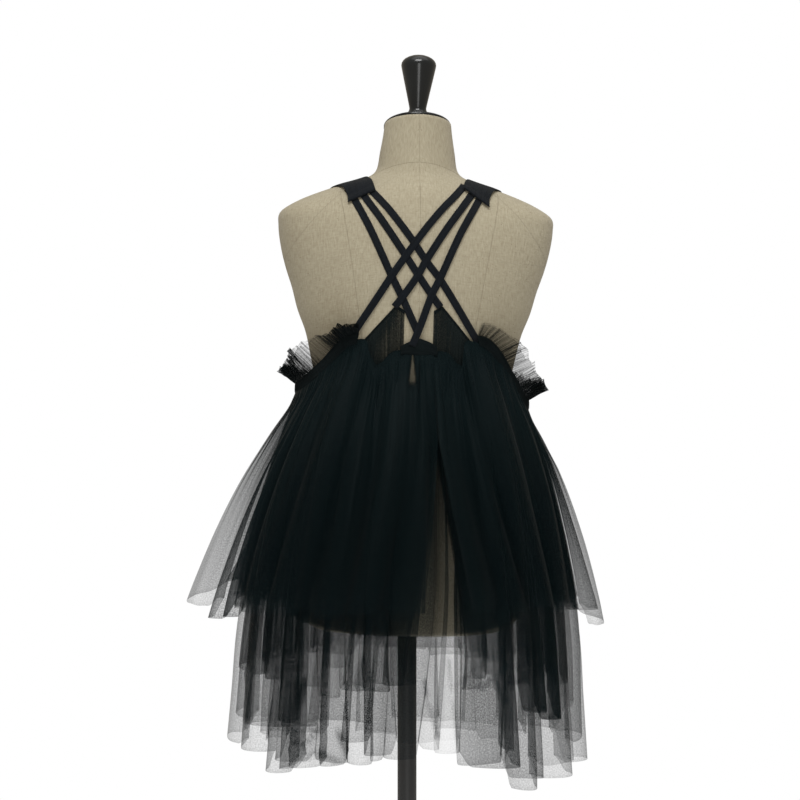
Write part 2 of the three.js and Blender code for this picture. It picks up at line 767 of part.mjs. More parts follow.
// Assembly: the torso and what it wears lean together about the pole's top
const upper = new THREE.Group();
upper.add(torso(), neckCap(), finialKnob());
for (const [name, points] of Object.entries(BACK_STRAPS)) upper.add(backStrap(name, points));
for (const side of [-1, 1]) upper.add(shoulderBand(side), backPanel(side), panelBinding(side));
for (const stretch of STRETCHES) upper.add(casingBand(stretch), ruffleFrill(stretch));
upper.add(centreTab());
for (const layer of LAYERS) upper.add(...layerPanels(layer));

const leaning = new THREE.Group();
leaning.position.z = TORSO[0].z;
leaning.rotation.y = TORSO_LEAN;
upper.position.z = -TORSO[0].z;
leaning.add(upper);

const dressedForm = new THREE.Group();
dressedForm.add(footPlate(), poleTube(), leaning);

export default dressedForm;
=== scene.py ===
# Looks of a tulle suspender skirt on a limbless dress form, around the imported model.
# Lengths in the tables are millimetres, as in the part's source; every mesh is made in metres.
import math
import random

import bpy
import numpy as np
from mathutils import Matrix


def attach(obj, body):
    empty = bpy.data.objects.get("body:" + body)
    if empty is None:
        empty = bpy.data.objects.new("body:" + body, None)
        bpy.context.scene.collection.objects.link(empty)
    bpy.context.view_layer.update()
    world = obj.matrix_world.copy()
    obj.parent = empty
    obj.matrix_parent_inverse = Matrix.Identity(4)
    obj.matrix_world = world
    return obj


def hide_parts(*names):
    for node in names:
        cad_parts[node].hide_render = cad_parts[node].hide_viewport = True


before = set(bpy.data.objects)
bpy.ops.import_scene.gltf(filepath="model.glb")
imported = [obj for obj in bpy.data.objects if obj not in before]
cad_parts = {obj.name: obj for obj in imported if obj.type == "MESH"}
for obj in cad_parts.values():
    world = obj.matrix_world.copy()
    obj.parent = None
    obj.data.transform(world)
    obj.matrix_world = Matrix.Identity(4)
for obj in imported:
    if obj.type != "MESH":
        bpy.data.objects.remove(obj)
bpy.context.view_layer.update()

MM = 0.001
LEAN = math.radians(1.25)  # the torso and what it wears lean to the right about the pole's top
POLE_TOP_Z = 762.0
BODY = "root"  # the one body, which every piece rides on
BACKWARD = np.array([0, -1.0, 0])  # the way that the back faces


# Numbers
def table(columns, rows):
    return {name: np.array([row[i] for row in rows], float) for i, name in enumerate(columns)}


def read(rows, key, at, column):
    """A table's column at values of its key, on a smooth curve through the rows."""
    xs, ys = rows[key], rows[column]
    spans = np.diff(xs)
    steps = np.empty(len(xs))
    steps[0], steps[-1] = (ys[1] - ys[0]) / spans[0], (ys[-1] - ys[-2]) / spans[-1]
    steps[1:-1] = (ys[2:] - ys[:-2]) / (xs[2:] - xs[:-2])
    at = np.clip(np.asarray(at, float), xs[0], xs[-1])
    i = np.clip(np.searchsorted(xs, at, side="right") - 1, 0, len(xs) - 2)
    t = (at - xs[i]) / spans[i]
    bend = t * (1 - t) * ((1 - t) * steps[i] - t * steps[i + 1])
    return ys[i] + (ys[i + 1] - ys[i]) * smooth(t) + spans[i] * bend


def smooth(t):
    """A share from 0 to 1, eased at both ends."""
    return t * t * (3 - 2 * t)


def ramp(value, low, high):
    """How far a value is on the way from low to high, from 0 to 1."""
    return np.clip((value - low) / (high - low), 0, 1)


def between(a, b, share_of_b):
    return a * (1 - share_of_b) + b * share_of_b


def bell(value, width):
    return np.exp(-((value / width) ** 2))


def signed_power(value, power):
    return np.sign(value) * np.abs(value) ** power


def unit(v):
    return v / np.maximum(np.linalg.norm(v, axis=-1, keepdims=True), 1e-9)


def xyz(x, y, z):
    """Points from coordinates, each a number or a whole field."""
    return np.stack(np.broadcast_arrays(x, y, z), axis=-1)


# The torso's shape and the waist's upper edge
TORSO = table(
    ["z", "halfWidth", "back", "front", "power"],
    [
        [762, 126, 103, 97, 2.3], [768, 138, 109, 102, 2.3], [778, 149, 113, 105, 2.3],
        [792, 159, 117, 107, 2.3], [812, 167, 119, 108, 2.25], [832, 169, 119, 108, 2.25],
        [880, 160, 113, 103, 2.2], [940, 138, 94, 97, 2.1], [1000, 118, 80, 91, 2.05],
        [1040, 120, 81, 92, 2.05], [1080, 128, 85, 96, 2.1], [1120, 137, 90, 102, 2.15],
        [1157, 145.5, 94, 107, 2.2], [1187, 157, 96, 106, 2.2], [1216, 165, 97, 102, 2.3],
        [1246, 175, 96, 95, 2.4], [1275, 182, 93, 85, 2.5], [1300, 185, 88, 73, 2.6],
        [1316, 183, 83, 64, 2.6], [1330, 163, 77, 56, 2.5], [1341, 139, 71, 51, 2.4],
        [1352, 109, 63, 46, 2.3], [1361, 80, 56, 43, 2.2], [1369, 62, 51, 42, 2.1],
        [1378, 54.5, 47, 43, 2.05], [1400, 50.5, 41, 47, 2], [1420, 47, 37, 51, 2],
        [1439, 44.5, 34, 53, 2],
    ],
)
BUST = {"x": 78, "z": 1165, "rise": 19, "spread_x": 44, "spread_z": 52}
NECK = {"top_z": 1436, "tilt": math.radians(16.5), "tilt_start_z": 1378, "centre_y": 9}
TOP_EDGE = table(
    ["angle", "z"],
    [
        [0, 1126], [6.3, 1126], [12, 1112], [17.4, 1104], [22, 1110], [27.4, 1141],
        [47, 1107], [66, 1084], [90, 1075], [130, 1080], [180, 1092],
    ],
)
RIGHT_DROP = table(
    ["angle", "z"], [[0, 0], [38, 0], [50, -8], [65, -16], [85, -16], [110, -8], [135, 0], [180, 0]]
)
RING = {"half_width": 157, "back": 98, "front": 118, "power": 2.3}


def bust_rise(x, z):
    sides = bell(np.abs(x) - BUST["x"], BUST["spread_x"])
    return BUST["rise"] * sides * bell(z - BUST["z"], BUST["spread_z"])


def share(x, z):
    half, power = read(TORSO, "z", z, "halfWidth"), read(TORSO, "z", z, "power")
    return np.clip(1 - (np.abs(x) / half) ** power, 0, None) ** (1 / power)


def back_of_torso(x, z):
    return -read(TORSO, "z", z, "back") * share(x, z)


def front_of_torso(x, z):
    return (read(TORSO, "z", z, "front") + bust_rise(x, z)) * share(x, z)


def leaned(points):
    """Points of the torso's own frame, leaned about the pole's top."""
    p = np.asarray(points, float)
    x, y, z = p[..., 0], p[..., 1], p[..., 2] - POLE_TOP_Z
    c, s = math.cos(LEAN), math.sin(LEAN)
    return xyz(x * c + z * s, y, POLE_TOP_Z + z * c - x * s)


# Meshes
def mesh_object(name, points, faces, material, replaced, uv=None, values=None):
    """A piece in metres from points in millimetres. uv is by point, in metres of cloth."""
    mesh = bpy.data.meshes.new(name)
    mesh.from_pydata((np.asarray(points, float).reshape(-1, 3) * MM).tolist(), [], faces)
    if uv is not None:
        layer = mesh.uv_layers.new(name="cloth")
        corner = np.empty(len(mesh.loops), dtype=np.int32)
        mesh.loops.foreach_get("vertex_index", corner)
        layer.data.foreach_set("uv", np.asarray(uv, float).reshape(-1, 2)[corner].ravel())
    for key, numbers in (values or {}).items():
        attribute = mesh.attributes.new(key, "FLOAT", "POINT")
        attribute.data.foreach_set("value", np.asarray(numbers, float).ravel())
    mesh.polygons.foreach_set("use_smooth", [True] * len(mesh.polygons))
    mesh.update()
    mesh.materials.append(material)
    piece = bpy.data.objects.new(name, mesh)
    bpy.context.scene.collection.objects.link(piece)
    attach(piece, BODY)
    if replaced:
        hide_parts(*replaced)
    return piece


def grid_faces(rows, columns, wrap=False, start=0):
    faces = []
    for r in range(rows - 1):
        for c in range(columns if wrap else columns - 1):
            d = (c + 1) % columns
            a = start + r * columns
            b = a + columns
            faces.append((a + c, a + d, b + d, b + c))
    return faces


def lengths_along(grid, axis):
    """The running length along a grid's axis, in metres of cloth."""
    steps = np.linalg.norm(np.diff(grid, axis=axis), axis=-1) * MM
    pad = [(0, 0), (0, 0)]
    pad[axis] = (1, 0)
    return np.cumsum(np.pad(steps, pad), axis=axis)


def cloth_uv(grid):
    """u runs along a layer by its longest row's length, v down it."""
    u = lengths_along(grid, 1)
    longest = u[np.argmax(u[:, -1])]
    v = lengths_along(grid, 0).mean(axis=1)
    return np.stack(np.meshgrid(longest, v), axis=-1)


def net_object(name, grid, material, replaced, values, wrap=False):
    """A sheet of net from its grid, before the torso's lean."""
    rows, columns = grid.shape[:2]
    fields = {key: np.broadcast_to(numbers, (rows, columns)) for key, numbers in values.items()}
    faces = grid_faces(rows, columns, wrap)
    return mesh_object(name, leaned(grid), faces, material, replaced, cloth_uv(grid), fields)


def tube_object(name, rings, material, replaced, both_ways=False, values=None):
    """A closed body through rings of equal count, before the torso's lean. u runs once round or both ways."""
    count, sides = rings.shape[:2]
    faces = grid_faces(count, sides, wrap=True)
    faces.append(tuple(reversed(range(sides))))
    faces.append(tuple(range((count - 1) * sides, count * sides)))
    u = lengths_along(np.concatenate([rings, rings[:, :1]], axis=1), 1)
    if both_ways:
        u = np.minimum(u, u[:, -1:] - u)
    uv = np.stack([u[:, :-1], lengths_along(rings, 0)], axis=-1)
    return mesh_object(name, leaned(rings), faces, material, replaced, uv, values)


def wall_object(name, outer, inner, material, replaced):
    """A closed wall between two grids of equal size, before the torso's lean."""
    rows, columns = outer.shape[:2]
    count = rows * columns
    faces = grid_faces(rows, columns)
    faces += [tuple(reversed(f)) for f in grid_faces(rows, columns, start=count)]
    loop = [(0, c) for c in range(columns)] + [(r, columns - 1) for r in range(1, rows)]
    loop += [(rows - 1, c) for c in range(columns - 2, -1, -1)] + [(r, 0) for r in range(rows - 2, 0, -1)]
    rim = [r * columns + c for r, c in loop]
    for a, b in zip(rim, rim[1:] + rim[:1]):
        faces.append((b, a, a + count, b + count))
    points = np.concatenate([outer.reshape(-1, 3), inner.reshape(-1, 3)])
    uv = cloth_uv(outer)
    return mesh_object(name, leaned(points), faces, material, replaced, np.stack([uv, uv]))


def rounded(count):
    """Places across a band from -1 to 1 with the share of its full thickness, thin at both edges."""
    a = np.sin(np.linspace(-math.pi / 2, math.pi / 2, count))
    return a, 0.35 + 0.65 * np.sqrt(np.clip(1 - a**4, 0, 1))


LATHE_SIDES = 96


def lathe(profile, centre_y=0.0):
    """Points and faces of a turned body, from a profile of (radius, z) that starts and ends on the axis."""
    angles = np.linspace(0, 2 * math.pi, LATHE_SIDES, endpoint=False)
    body = [(r, z) for r, z in profile if r > 0]
    points = [(r * math.cos(a), centre_y + r * math.sin(a), z) for r, z in body for a in angles]
    faces = grid_faces(len(body), LATHE_SIDES, wrap=True)
    low, high = len(points), len(points) + 1
    last = (len(body) - 1) * LATHE_SIDES
    points += [(0, centre_y, profile[0][1]), (0, centre_y, profile[-1][1])]
    for i in range(LATHE_SIDES):
        j = (i + 1) % LATHE_SIDES
        faces += [(low, j, i), (high, last + i, last + j)]
    return np.array(points), faces


# Node trees
class Nodes:
    """Short ways to add nodes to a tree, which starts empty."""

    def __init__(self, tree):
        self.tree = tree
        tree.nodes.clear()

    def add(self, kind, **settings):
        node = self.tree.nodes.new(kind)
        for key, value in settings.items():
            setattr(node, key, value)
        return node

    def link(self, a, b):
        self.tree.links.new(a, b)

    def feed(self, socket, value):
        if isinstance(value, bpy.types.NodeSocket):
            self.link(value, socket)
        else:
            socket.default_value = value

    def math(self, operation, a, b=0.0, c=0.0):
        node = self.add("ShaderNodeMath", operation=operation)
        for socket, value in zip(node.inputs, (a, b, c)):
            self.feed(socket, value)
        return node.outputs[0]

    def plus(self, total, *others):
        for value in others:
            total = self.math("ADD", total, value)
        return total

    def times(self, product, *others):
        for value in others:
            product = self.math("MULTIPLY", product, value)
        return product

    def less(self, a, b):
        return self.math("SUBTRACT", a, b)

    def attribute(self, name):
        return self.add("ShaderNodeAttribute", attribute_name=name).outputs["Fac"]

    def place(self):
        """Where a point lies in its object, in metres."""
        return self.add("ShaderNodeTexCoord").outputs["Object"]

    def uv(self):
        return self.add("ShaderNodeUVMap", uv_map="cloth").outputs[0]

    def split(self, vector):
        node = self.add("ShaderNodeSeparateXYZ")
        self.link(vector, node.inputs[0])
        return node.outputs

    def noise(self, vector, scale, detail=2.0, rough=0.5):
        mapping = self.add("ShaderNodeMapping")
        self.link(vector, mapping.inputs["Vector"])
        mapping.inputs["Scale"].default_value = scale
        node = self.add("ShaderNodeTexNoise")
        self.link(mapping.outputs[0], node.inputs["Vector"])
        for key, value in (("Scale", 1.0), ("Detail", detail), ("Roughness", rough)):
            node.inputs[key].default_value = value
        return node.outputs["Fac"]

    def spread(self, value, low, high, to_low=0.0, to_high=1.0):
        """A value's way from low to high, kept within these, as a value from to_low to to_high."""
        node = self.add("ShaderNodeMapRange")
        self.feed(node.inputs["Value"], value)
        for key, number in (("From Min", low), ("From Max", high), ("To Min", to_low), ("To Max", to_high)):
            node.inputs[key].default_value = number
        return node.outputs["Result"]

    def blend(self, share_of_b, a, b):
        node = self.add("ShaderNodeMix", data_type="RGBA")
        for socket, value in ((node.inputs["Factor"], share_of_b), (node.inputs[6], a), (node.inputs[7], b)):
            self.feed(socket, value)
        return node.outputs[2]

    def bump(self, height, distance, strength=1.0):
        node = self.add("ShaderNodeBump")
        self.link(height, node.inputs["Height"])
        node.inputs["Distance"].default_value = distance
        node.inputs["Strength"].default_value = strength
        return node.outputs["Normal"]

    def waves(self, vector, pitch):
        """Sines along u and v of the cloth, each from -1 to 1."""
        u, v, _ = self.split(vector)
        return [self.math("SINE", self.times(along, 2 * math.pi / pitch)) for along in (u, v)]

    def principled(self, color, roughness, **sockets):
        """The main shader. A socket is named with _ in place of its spaces."""
        node = self.add("ShaderNodeBsdfPrincipled")
        self.feed(node.inputs["Base Color"], color)
        self.feed(node.inputs["Roughness"], roughness)
        for key, value in sockets.items():
            self.feed(node.inputs[key.replace("_", " ")], value)
        return node.outputs[0]

    def finish(self, shader, output="ShaderNodeOutputMaterial"):
        self.link(shader, self.add(output).inputs["Surface"])


def new_material(name):
    material = bpy.data.materials.new(name)
    material.use_nodes = True
    return material, Nodes(material.node_tree)


# Materials
LINEN = {"pale": (0.465, 0.43, 0.325, 1), "dark": (0.315, 0.275, 0.195, 1), "fleck": (0.18, 0.14, 0.09, 1)}
THREAD_PITCH = 0.0011
SEAMS = ("seam_centre", "seam_princess", "seam_side", "seam_neck")
SEAM_WIDTH = 0.9  # mm, half the groove along a seam of the torso
NO_SEAM = 9.0  # mm, too far off for a groove
NET_DEPTH = 0.365  # optical depth of one smooth layer of net, seen square on
NET_PITCH = 0.0019
NET_STREAK = 0.6
# The lower edge of the torso as the net hides it, where the painted shade in the net begins, in metres: the
# middle's height, and its rounded ends
FORM_EDGE = {"middle": 0.767, "x": -0.016, "half_width": 0.152, "rise": 0.036, "step": 0.003}


def linen_material():
    material, n = new_material("linen")
    uv = n.uv()
    weave = n.times(n.plus(*n.waves(uv, THREAD_PITCH)), 0.25)
    slub_down = n.spread(n.noise(uv, (520, 110, 1)), 0.3, 0.7, -0.5, 0.5)
    slub_across = n.spread(n.noise(uv, (110, 520, 1)), 0.3, 0.7, -0.3, 0.3)
    slubs = n.plus(slub_down, slub_across)
    patches = n.spread(n.noise(n.place(), (9, 9, 7), detail=3), 0.3, 0.7, 0.0, 0.35)
    tone = n.plus(n.times(slubs, 0.5), 0.3, patches, n.times(weave, 0.05))
    color = n.blend(n.spread(tone, 0.0, 1.0), LINEN["pale"], LINEN["dark"])
    flecks = n.spread(n.noise(uv, (300, 260, 1), rough=0.6), 0.66, 0.74, 0.0, 0.7)
    color = n.blend(flecks, color, LINEN["fleck"])
    grooves = 0.0
    for name in SEAMS:
        far = n.math("ABSOLUTE", n.attribute(name))
        grooves = n.math("MAXIMUM", grooves, n.spread(far, 0.0, SEAM_WIDTH, 1.0, 0.0))
    color = n.blend(n.times(grooves, 0.28), color, LINEN["fleck"])
    height = n.less(n.plus(n.times(weave, 0.3), slubs), n.times(grooves, 1.2))
    sockets = {"Sheen_Weight": 0.15, "Sheen_Roughness": 0.5, "Specular_IOR_Level": 0.2}
    n.finish(n.principled(color, 0.9, Normal=n.bump(height, 0.00035), **sockets))
    return material


def painted_shade_above_form_edge(n):
    """1 where the net lies over the torso, 0 below the torso's lower edge: where the net carries painted
    shade.
    """
    x, _, z = n.split(n.place())
    aside = n.math("DIVIDE", n.less(x, FORM_EDGE["x"]), FORM_EDGE["half_width"])
    round_end = n.math("SQRT", n.math("MAXIMUM", n.less(1.0, n.times(aside, aside)), 0.0))
    height = n.plus(z, n.times(round_end, FORM_EDGE["rise"]), n.times(x, math.tan(LEAN)))
    edge = FORM_EDGE["middle"] + FORM_EDGE["rise"]
    return n.spread(height, edge, edge + FORM_EDGE["step"])


def tulle_material(name, tint, pitch, soft, lines=0.0):
    """Net whose optical depth grows with its gathers, along its streaks and where it is seen edge on. Over
    the torso it grows more, as painted shade that darkens the torso behind.
    """
    material, n = new_material(name)
    uv = n.uv()
    # painted shade: the net is thicker where it lies over the torso, so the torso seen through it looks
    # shadowed
    painted_shade_over_form = n.plus(n.times(painted_shade_above_form_edge(n), n.attribute("painted_shade_over_form")), 1.0)
    streaks = n.noise(uv, (pitch, 2.2, 1), rough=0.65)
    streaks = n.spread(streaks, 0.5 - soft, 0.5 + soft, -NET_STREAK, NET_STREAK)
    if lines:
        folds = n.noise(uv, (pitch * 0.7, 3.0, 1), detail=1)
        streaks = n.plus(streaks, n.spread(folds, 0.57, 0.66, -0.15, lines))
    streaks = n.plus(n.times(streaks, n.attribute("gathered")), 1.0)
    grain = n.spread(n.noise(uv, (520, 520, 1), detail=0), 0.25, 0.75, 0.68, 1.32)
    diagonal = n.add("ShaderNodeMapping")
    n.link(uv, diagonal.inputs["Vector"])
    diagonal.inputs["Rotation"].default_value = (0, 0, math.radians(45))
    net = n.spread(n.times(*n.waves(diagonal.outputs[0], NET_PITCH)), -1.0, 1.0, 0.9, 1.1)
    facing = n.add("ShaderNodeLayerWeight")
    facing.inputs["Blend"].default_value = 0.5
    cosine = n.less(1.0, facing.outputs["Facing"])
    slant = n.math("DIVIDE", 1.0, n.plus(n.times(cosine, 0.58), 0.42))
    depth = n.times(n.attribute("gather"), painted_shade_over_form, NET_DEPTH, streaks, slant, grain, net)
    cover = n.less(1.0, n.math("EXPONENT", n.times(depth, -1.0)))
    sockets = {"Sheen_Weight": 0.02, "Sheen_Roughness": 0.5, "Specular_IOR_Level": 0.06}
    n.finish(n.principled(tint, 0.62, Alpha=cover, **sockets))
    return material


def cloth_material(name, pale, dark, pitch, roughness, sheen, gloss):
    """Plain dark woven cloth."""
    material, n = new_material(name)
    uv = n.uv()
    weave = n.times(*n.waves(uv, pitch))
    tone = n.plus(n.noise(uv, (300, 30, 1), detail=3), n.times(weave, 0.12))
    color = n.blend(n.spread(tone, 0.3, 0.75), dark, pale)
    sockets = {"Sheen_Weight": sheen, "Sheen_Roughness": 0.45, "Specular_IOR_Level": gloss}
    n.finish(n.principled(color, roughness, Normal=n.bump(weave, 0.00012), **sockets))
    return material


def hard_material(name, color, roughness, wear):
    """Painted or lacquered metal, with faint marks of handling."""
    material, n = new_material(name)
    where = n.place()
    marks = n.noise(where, (30, 30, 9), detail=4, rough=0.6)
    pale = tuple(c * 1.6 + 0.004 for c in color[:3]) + (1,)
    tint = n.blend(n.spread(marks, 0.45, 0.8), color, pale)
    rough = n.spread(n.noise(where, (90, 90, 30), detail=3), 0.3, 0.7, roughness - wear, roughness + wear)
    n.finish(n.principled(tint, rough, Normal=n.bump(marks, 0.00008, 0.4)))
    return material


linen = linen_material()
net_upper = tulle_material("net_upper", (0.0024, 0.0074, 0.0090, 1), pitch=230, soft=0.2)
net_ruffle = tulle_material("net_ruffle", (0.0040, 0.0066, 0.0074, 1), pitch=420, soft=0.09, lines=2.6)
net_panel = tulle_material("net_panel", (0.0090, 0.0135, 0.0140, 1), pitch=330, soft=0.2)
strap_cloth = cloth_material(
    "strap_cloth", (0.0075, 0.0115, 0.0175, 1), (0.0030, 0.0050, 0.0080, 1),
    pitch=0.0006, roughness=0.75, sheen=0.04, gloss=0.14,
)
trim_cloth = cloth_material(
    "trim_cloth", (0.0110, 0.0155, 0.0170, 1), (0.0046, 0.0074, 0.0084, 1),
    pitch=0.0007, roughness=0.9, sheen=0.0, gloss=0.04,
)
black_gloss = hard_material("black_gloss", (0.006, 0.0085, 0.0105, 1), 0.2, 0.04)
painted_steel = hard_material("painted_steel", (0.0115, 0.0125, 0.0135, 1), 0.42, 0.08)


# The torso: a smooth body through many level rings, with its seams as distances in millimetres
TORSO_ROWS, TORSO_SIDES = 190, 240
UNDERSIDE = {"in": (14, 6, 2, 0.6), "hollow": 3.0}  # rings inside the lower edge, each a little higher
PRINCESS_X = {"shoulder": 104, "waist": 62, "hip": 84}
PRINCESS_Z = {"shoulder": 1330, "waist": 1040, "hip": 780, "end": 1352}
SIDE_SEAM = {"y": 2.0, "end_z": 1250}


def torso_ring(z, angles, out=0.0):
    """One ring of the torso, not leaned."""
    half, power, back, front = (read(TORSO, "z", z, key) for key in ("halfWidth", "power", "back", "front"))
    x = (half + out) * signed_power(np.sin(angles), 2 / power)
    reach = signed_power(-np.cos(angles), 2 / power)
    y = np.where(reach < 0, (back + out) * reach, (front + bust_rise(x, z) + out) * reach)
    tilt = NECK["tilt"] * ramp(z, NECK["tilt_start_z"], NECK["top_z"])
    return xyz(x, y, z - (y - NECK["centre_y"]) * np.tan(tilt))


def torso_piece():
    heights = np.linspace(TORSO["z"][0], NECK["top_z"], TORSO_ROWS)
    angles = np.linspace(0, 2 * math.pi, TORSO_SIDES, endpoint=False)
    rings = []
    for k in UNDERSIDE["in"]:
        rings.append(torso_ring(heights[0], angles, -k) + np.array([0, 0, UNDERSIDE["hollow"] * k / (1 + k)]))
    rings = np.array(rings + [torso_ring(z, angles) for z in heights])
    x, y, z = rings[..., 0], rings[..., 1], rings[..., 2]
    high = ramp(z, PRINCESS_Z["waist"], PRINCESS_Z["shoulder"]) ** 1.3
    low = ramp(z, PRINCESS_Z["waist"], PRINCESS_Z["hip"])
    princess = PRINCESS_X["waist"] + (PRINCESS_X["shoulder"] - PRINCESS_X["waist"]) * high
    princess = princess + (PRINCESS_X["hip"] - PRINCESS_X["waist"]) * low
    seams = (
        x,
        np.where(z < PRINCESS_Z["end"], np.abs(x) - princess, NO_SEAM),
        np.where(z < SIDE_SEAM["end_z"], y - SIDE_SEAM["y"], NO_SEAM),
        z - (1383.0 - 0.0042 * x * x + np.where(y > 0, 0.12 * y, 0)),
    )
    tube_object("linen_torso", rings, linen, ["torso"], True, dict(zip(SEAMS, seams)))


# Profiles of the turned pieces: radius and height
FOOT = [
    (0, 0), (156, 0), (159.2, 1), (160, 2.6), (160, 5.2), (158.8, 6.8), (156, 7.6), (120, 10), (80, 12.6),
    (46, 15.2), (31, 18.5), (26.5, 24), (24.6, 32), (24, 44), (24, 58.5), (23.4, 61), (21.5, 62),
    (13.6, 62), (13.4, 20), (0, 20),
]
POLE = [(0, 20.4), (12.8, 20.4), (12.8, 400), (12.8, 700), (12.8, 761.2), (0, 761.2)]
CAP = [(0, 0.3), (44.6, 0.3), (45.5, 1), (45.5, 3.2), (44.9, 4.3), (43.6, 4.8), (30, 5), (0, 5)]
FINIAL = [
    (0, 1438), (17, 1438), (17.4, 1450), (17, 1453), (15.4, 1456), (13, 1458.4), (11.8, 1460.6),
    (11.4, 1463), (12, 1466.4), (14.5, 1478), (18, 1494), (21.6, 1510.5), (23.4, 1519), (23.7, 1521.5),
    (23.2, 1524.4), (21.6, 1527.4), (18.8, 1530.2), (14.6, 1532.6), (9.5, 1534.4), (4.5, 1535.4), (0, 1535.7),
]
# The finial's lowest row follows the tilted cap, and the row above it keeps a rim's height from the cap
FINIAL_SEAT = {"above_neck": 5.6, "lowest_row_under": 1440, "next_row_under": 1452, "rim": 3}


def stand_pieces():
    for name, profile, node in (("steel_foot", FOOT, "foot_plate"), ("steel_pole", POLE, "pole")):
        points, faces = lathe(profile)
        mesh_object(name, points, faces, painted_steel, [node])
    tilt, y0, z0 = NECK["tilt"], NECK["centre_y"], NECK["top_z"]
    points, faces = lathe(CAP)
    x, y, z = points.T
    c, s = math.cos(tilt), math.sin(tilt)
    tilted = xyz(x, y0 + y * c + z * s, z0 - y * s + z * c)
    mesh_object("neck_plate", leaned(tilted), faces, black_gloss, ["neck_cap"])
    points, faces = lathe(FINIAL, y0)
    x, y, z = points.T
    seat = z0 + FINIAL_SEAT["above_neck"] - (y - y0) * math.tan(tilt)
    rim = np.where(z < FINIAL_SEAT["next_row_under"], np.maximum(z, seat + FINIAL_SEAT["rim"]), z)
    seated = xyz(x, y, np.where(z < FINIAL_SEAT["lowest_row_under"], seat, rim))
    mesh_object("turned_finial", leaned(seated), faces, black_gloss, ["finial"])


# The waist's upper edge
def degrees_from_back(angle):
    """An angle round the waist in degrees, 0 in the middle of the back, more to the right."""
    return np.degrees(np.arctan2(np.sin(angle), np.cos(angle)))


def ring_point(angle, out, z):
    depth = np.where(np.cos(angle) > 0, RING["back"], RING["front"])
    x = (RING["half_width"] + out) * signed_power(np.sin(angle), 2 / RING["power"])
    y = -(depth + out) * signed_power(np.cos(angle), 2 / RING["power"])
    return xyz(x, y, z)


def front_angle(x):
    return math.pi - np.sign(x) * np.arcsin((np.abs(x) / RING["half_width"]) ** (RING["power"] / 2))


def right_drop(degrees):
    """How much lower the edge lies on the right side."""
    return np.where(degrees > 0, read(RIGHT_DROP, "angle", np.abs(degrees), "z"), 0.0)


def top_z(angle):
    degrees = degrees_from_back(angle)
    return read(TOP_EDGE, "angle", np.abs(degrees), "z") + right_drop(degrees)


def edge_frames(angles):
    """Points of the upper edge with the level way out and the way up the cloth."""
    before, at, after = (ring_point(angles + step, 0, top_z(angles + step)) for step in (-0.01, 0.0, 0.01))
    along = unit(after - before)
    out = unit(xyz(along[:, 1], -along[:, 0], 0.0))
    out = np.where((out * at * [1, 1, 0]).sum(axis=-1, keepdims=True) < 0, -out, out)
    up = unit(np.cross(out, along))
    return at, out, np.where(up[:, 2:] < 0, -up, up)


# Straps
SHOULDER = {
    "width": 45, "wall": 1.2, "pivot_y": -8, "pivot_z": 1290, "chest_z": 1286, "end_z": 1097,
    "front_lift": 1.4, "behind_edge": 2.6, "hem": 8, "rows_over": 74, "rows_down": 60, "columns": 15,
}
OVER_SHOULDER = table(
    ["angle", "x", "lift"],
    [
        [-54, 78, 3.2], [-45, 80.5, 4.2], [-36, 83, 4], [-27, 85.5, 2.4], [-18, 88, 1.2], [-9, 90, 1.2],
        [0, 92, 1.2], [12, 94.5, 1.2], [24, 96, 1.2], [38, 97, 1.2], [54, 98, 1.2], [72, 98, 1.4],
    ],
)
DOWN_CHEST = table(
    ["drop", "x"],
    [[-1288, 98], [-1262, 98], [-1236, 97], [-1212, 95], [-1188, 93], [-1165, 90], [-1131, 86], [-1097, 82]],
)
STRAP_WIDTH, RIBBON = 9.6, 0.9
# The slanting back end of each wide strap: x and z of its inner and its outer corner
STRAP_END = {"left": ((59.0, 1339.6), (95.1, 1323.0)), "right": ((56.8, 1345.5), (90.9, 1321.3))}
BACK_STRAPS = {
    "left_outer": [
        (-94.9, 1344.5, 1.1), (-93.4, 1341.7, 1), (-79.5, 1316, 1), (-64.9, 1288, 1), (-36.7, 1227.9, 1),
        (-22.7, 1200.6, 1.7), (-2, 1157, 2.8),
    ],
    "left_middle": [
        (-84.7, 1350.1, 1.4), (-83.5, 1348.4, 1.4), (-67.6, 1325, 1), (-53.1, 1305, 1), (-17.4, 1252.6, 1),
        (-2.5, 1230.5, 1), (15.6, 1204.5, 1.7), (27.5, 1189, 2.1),
    ],
    "left_inner": [
        (-75, 1353.6, 1.4), (-73.5, 1351.8, 1.4), (-59.9, 1337, 1), (-39.7, 1314, 1), (-12.3, 1278, 1),
        (8.8, 1247.4, 1), (26.2, 1225.3, 1), (54.3, 1183, 1.8), (69.6, 1159, 3), (80, 1144, 3.4),
    ],
    "right_outer": [
        (82.1, 1341, 1), (80.3, 1337.4, 1), (67.2, 1314, 2.3), (51.2, 1284, 2.4), (25.5, 1225.3, 2.5),
        (15.6, 1204.5, 3.2), (0.5, 1161, 4.9), (-8.7, 1138, 7.4),
    ],
    "right_middle": [
        (73.2, 1348, 1), (71, 1344.2, 1), (56.1, 1323, 2), (34.2, 1292, 2.4), (6.4, 1247.4, 2.4),
        (-2.5, 1230.5, 2.4), (-22.7, 1200.6, 3.5), (-32.5, 1188, 2.4),
    ],
    "right_inner": [
        (59, 1354, 1.3), (57.5, 1351, 1.2), (44.8, 1336, 1.6), (28.1, 1318, 2.2), (11.1, 1297, 2.4),
        (-2.9, 1278, 2.4), (-33.8, 1233, 2.4), (-60.3, 1191, 2), (-75, 1168, 3), (-85, 1152, 3.4),
    ],
}


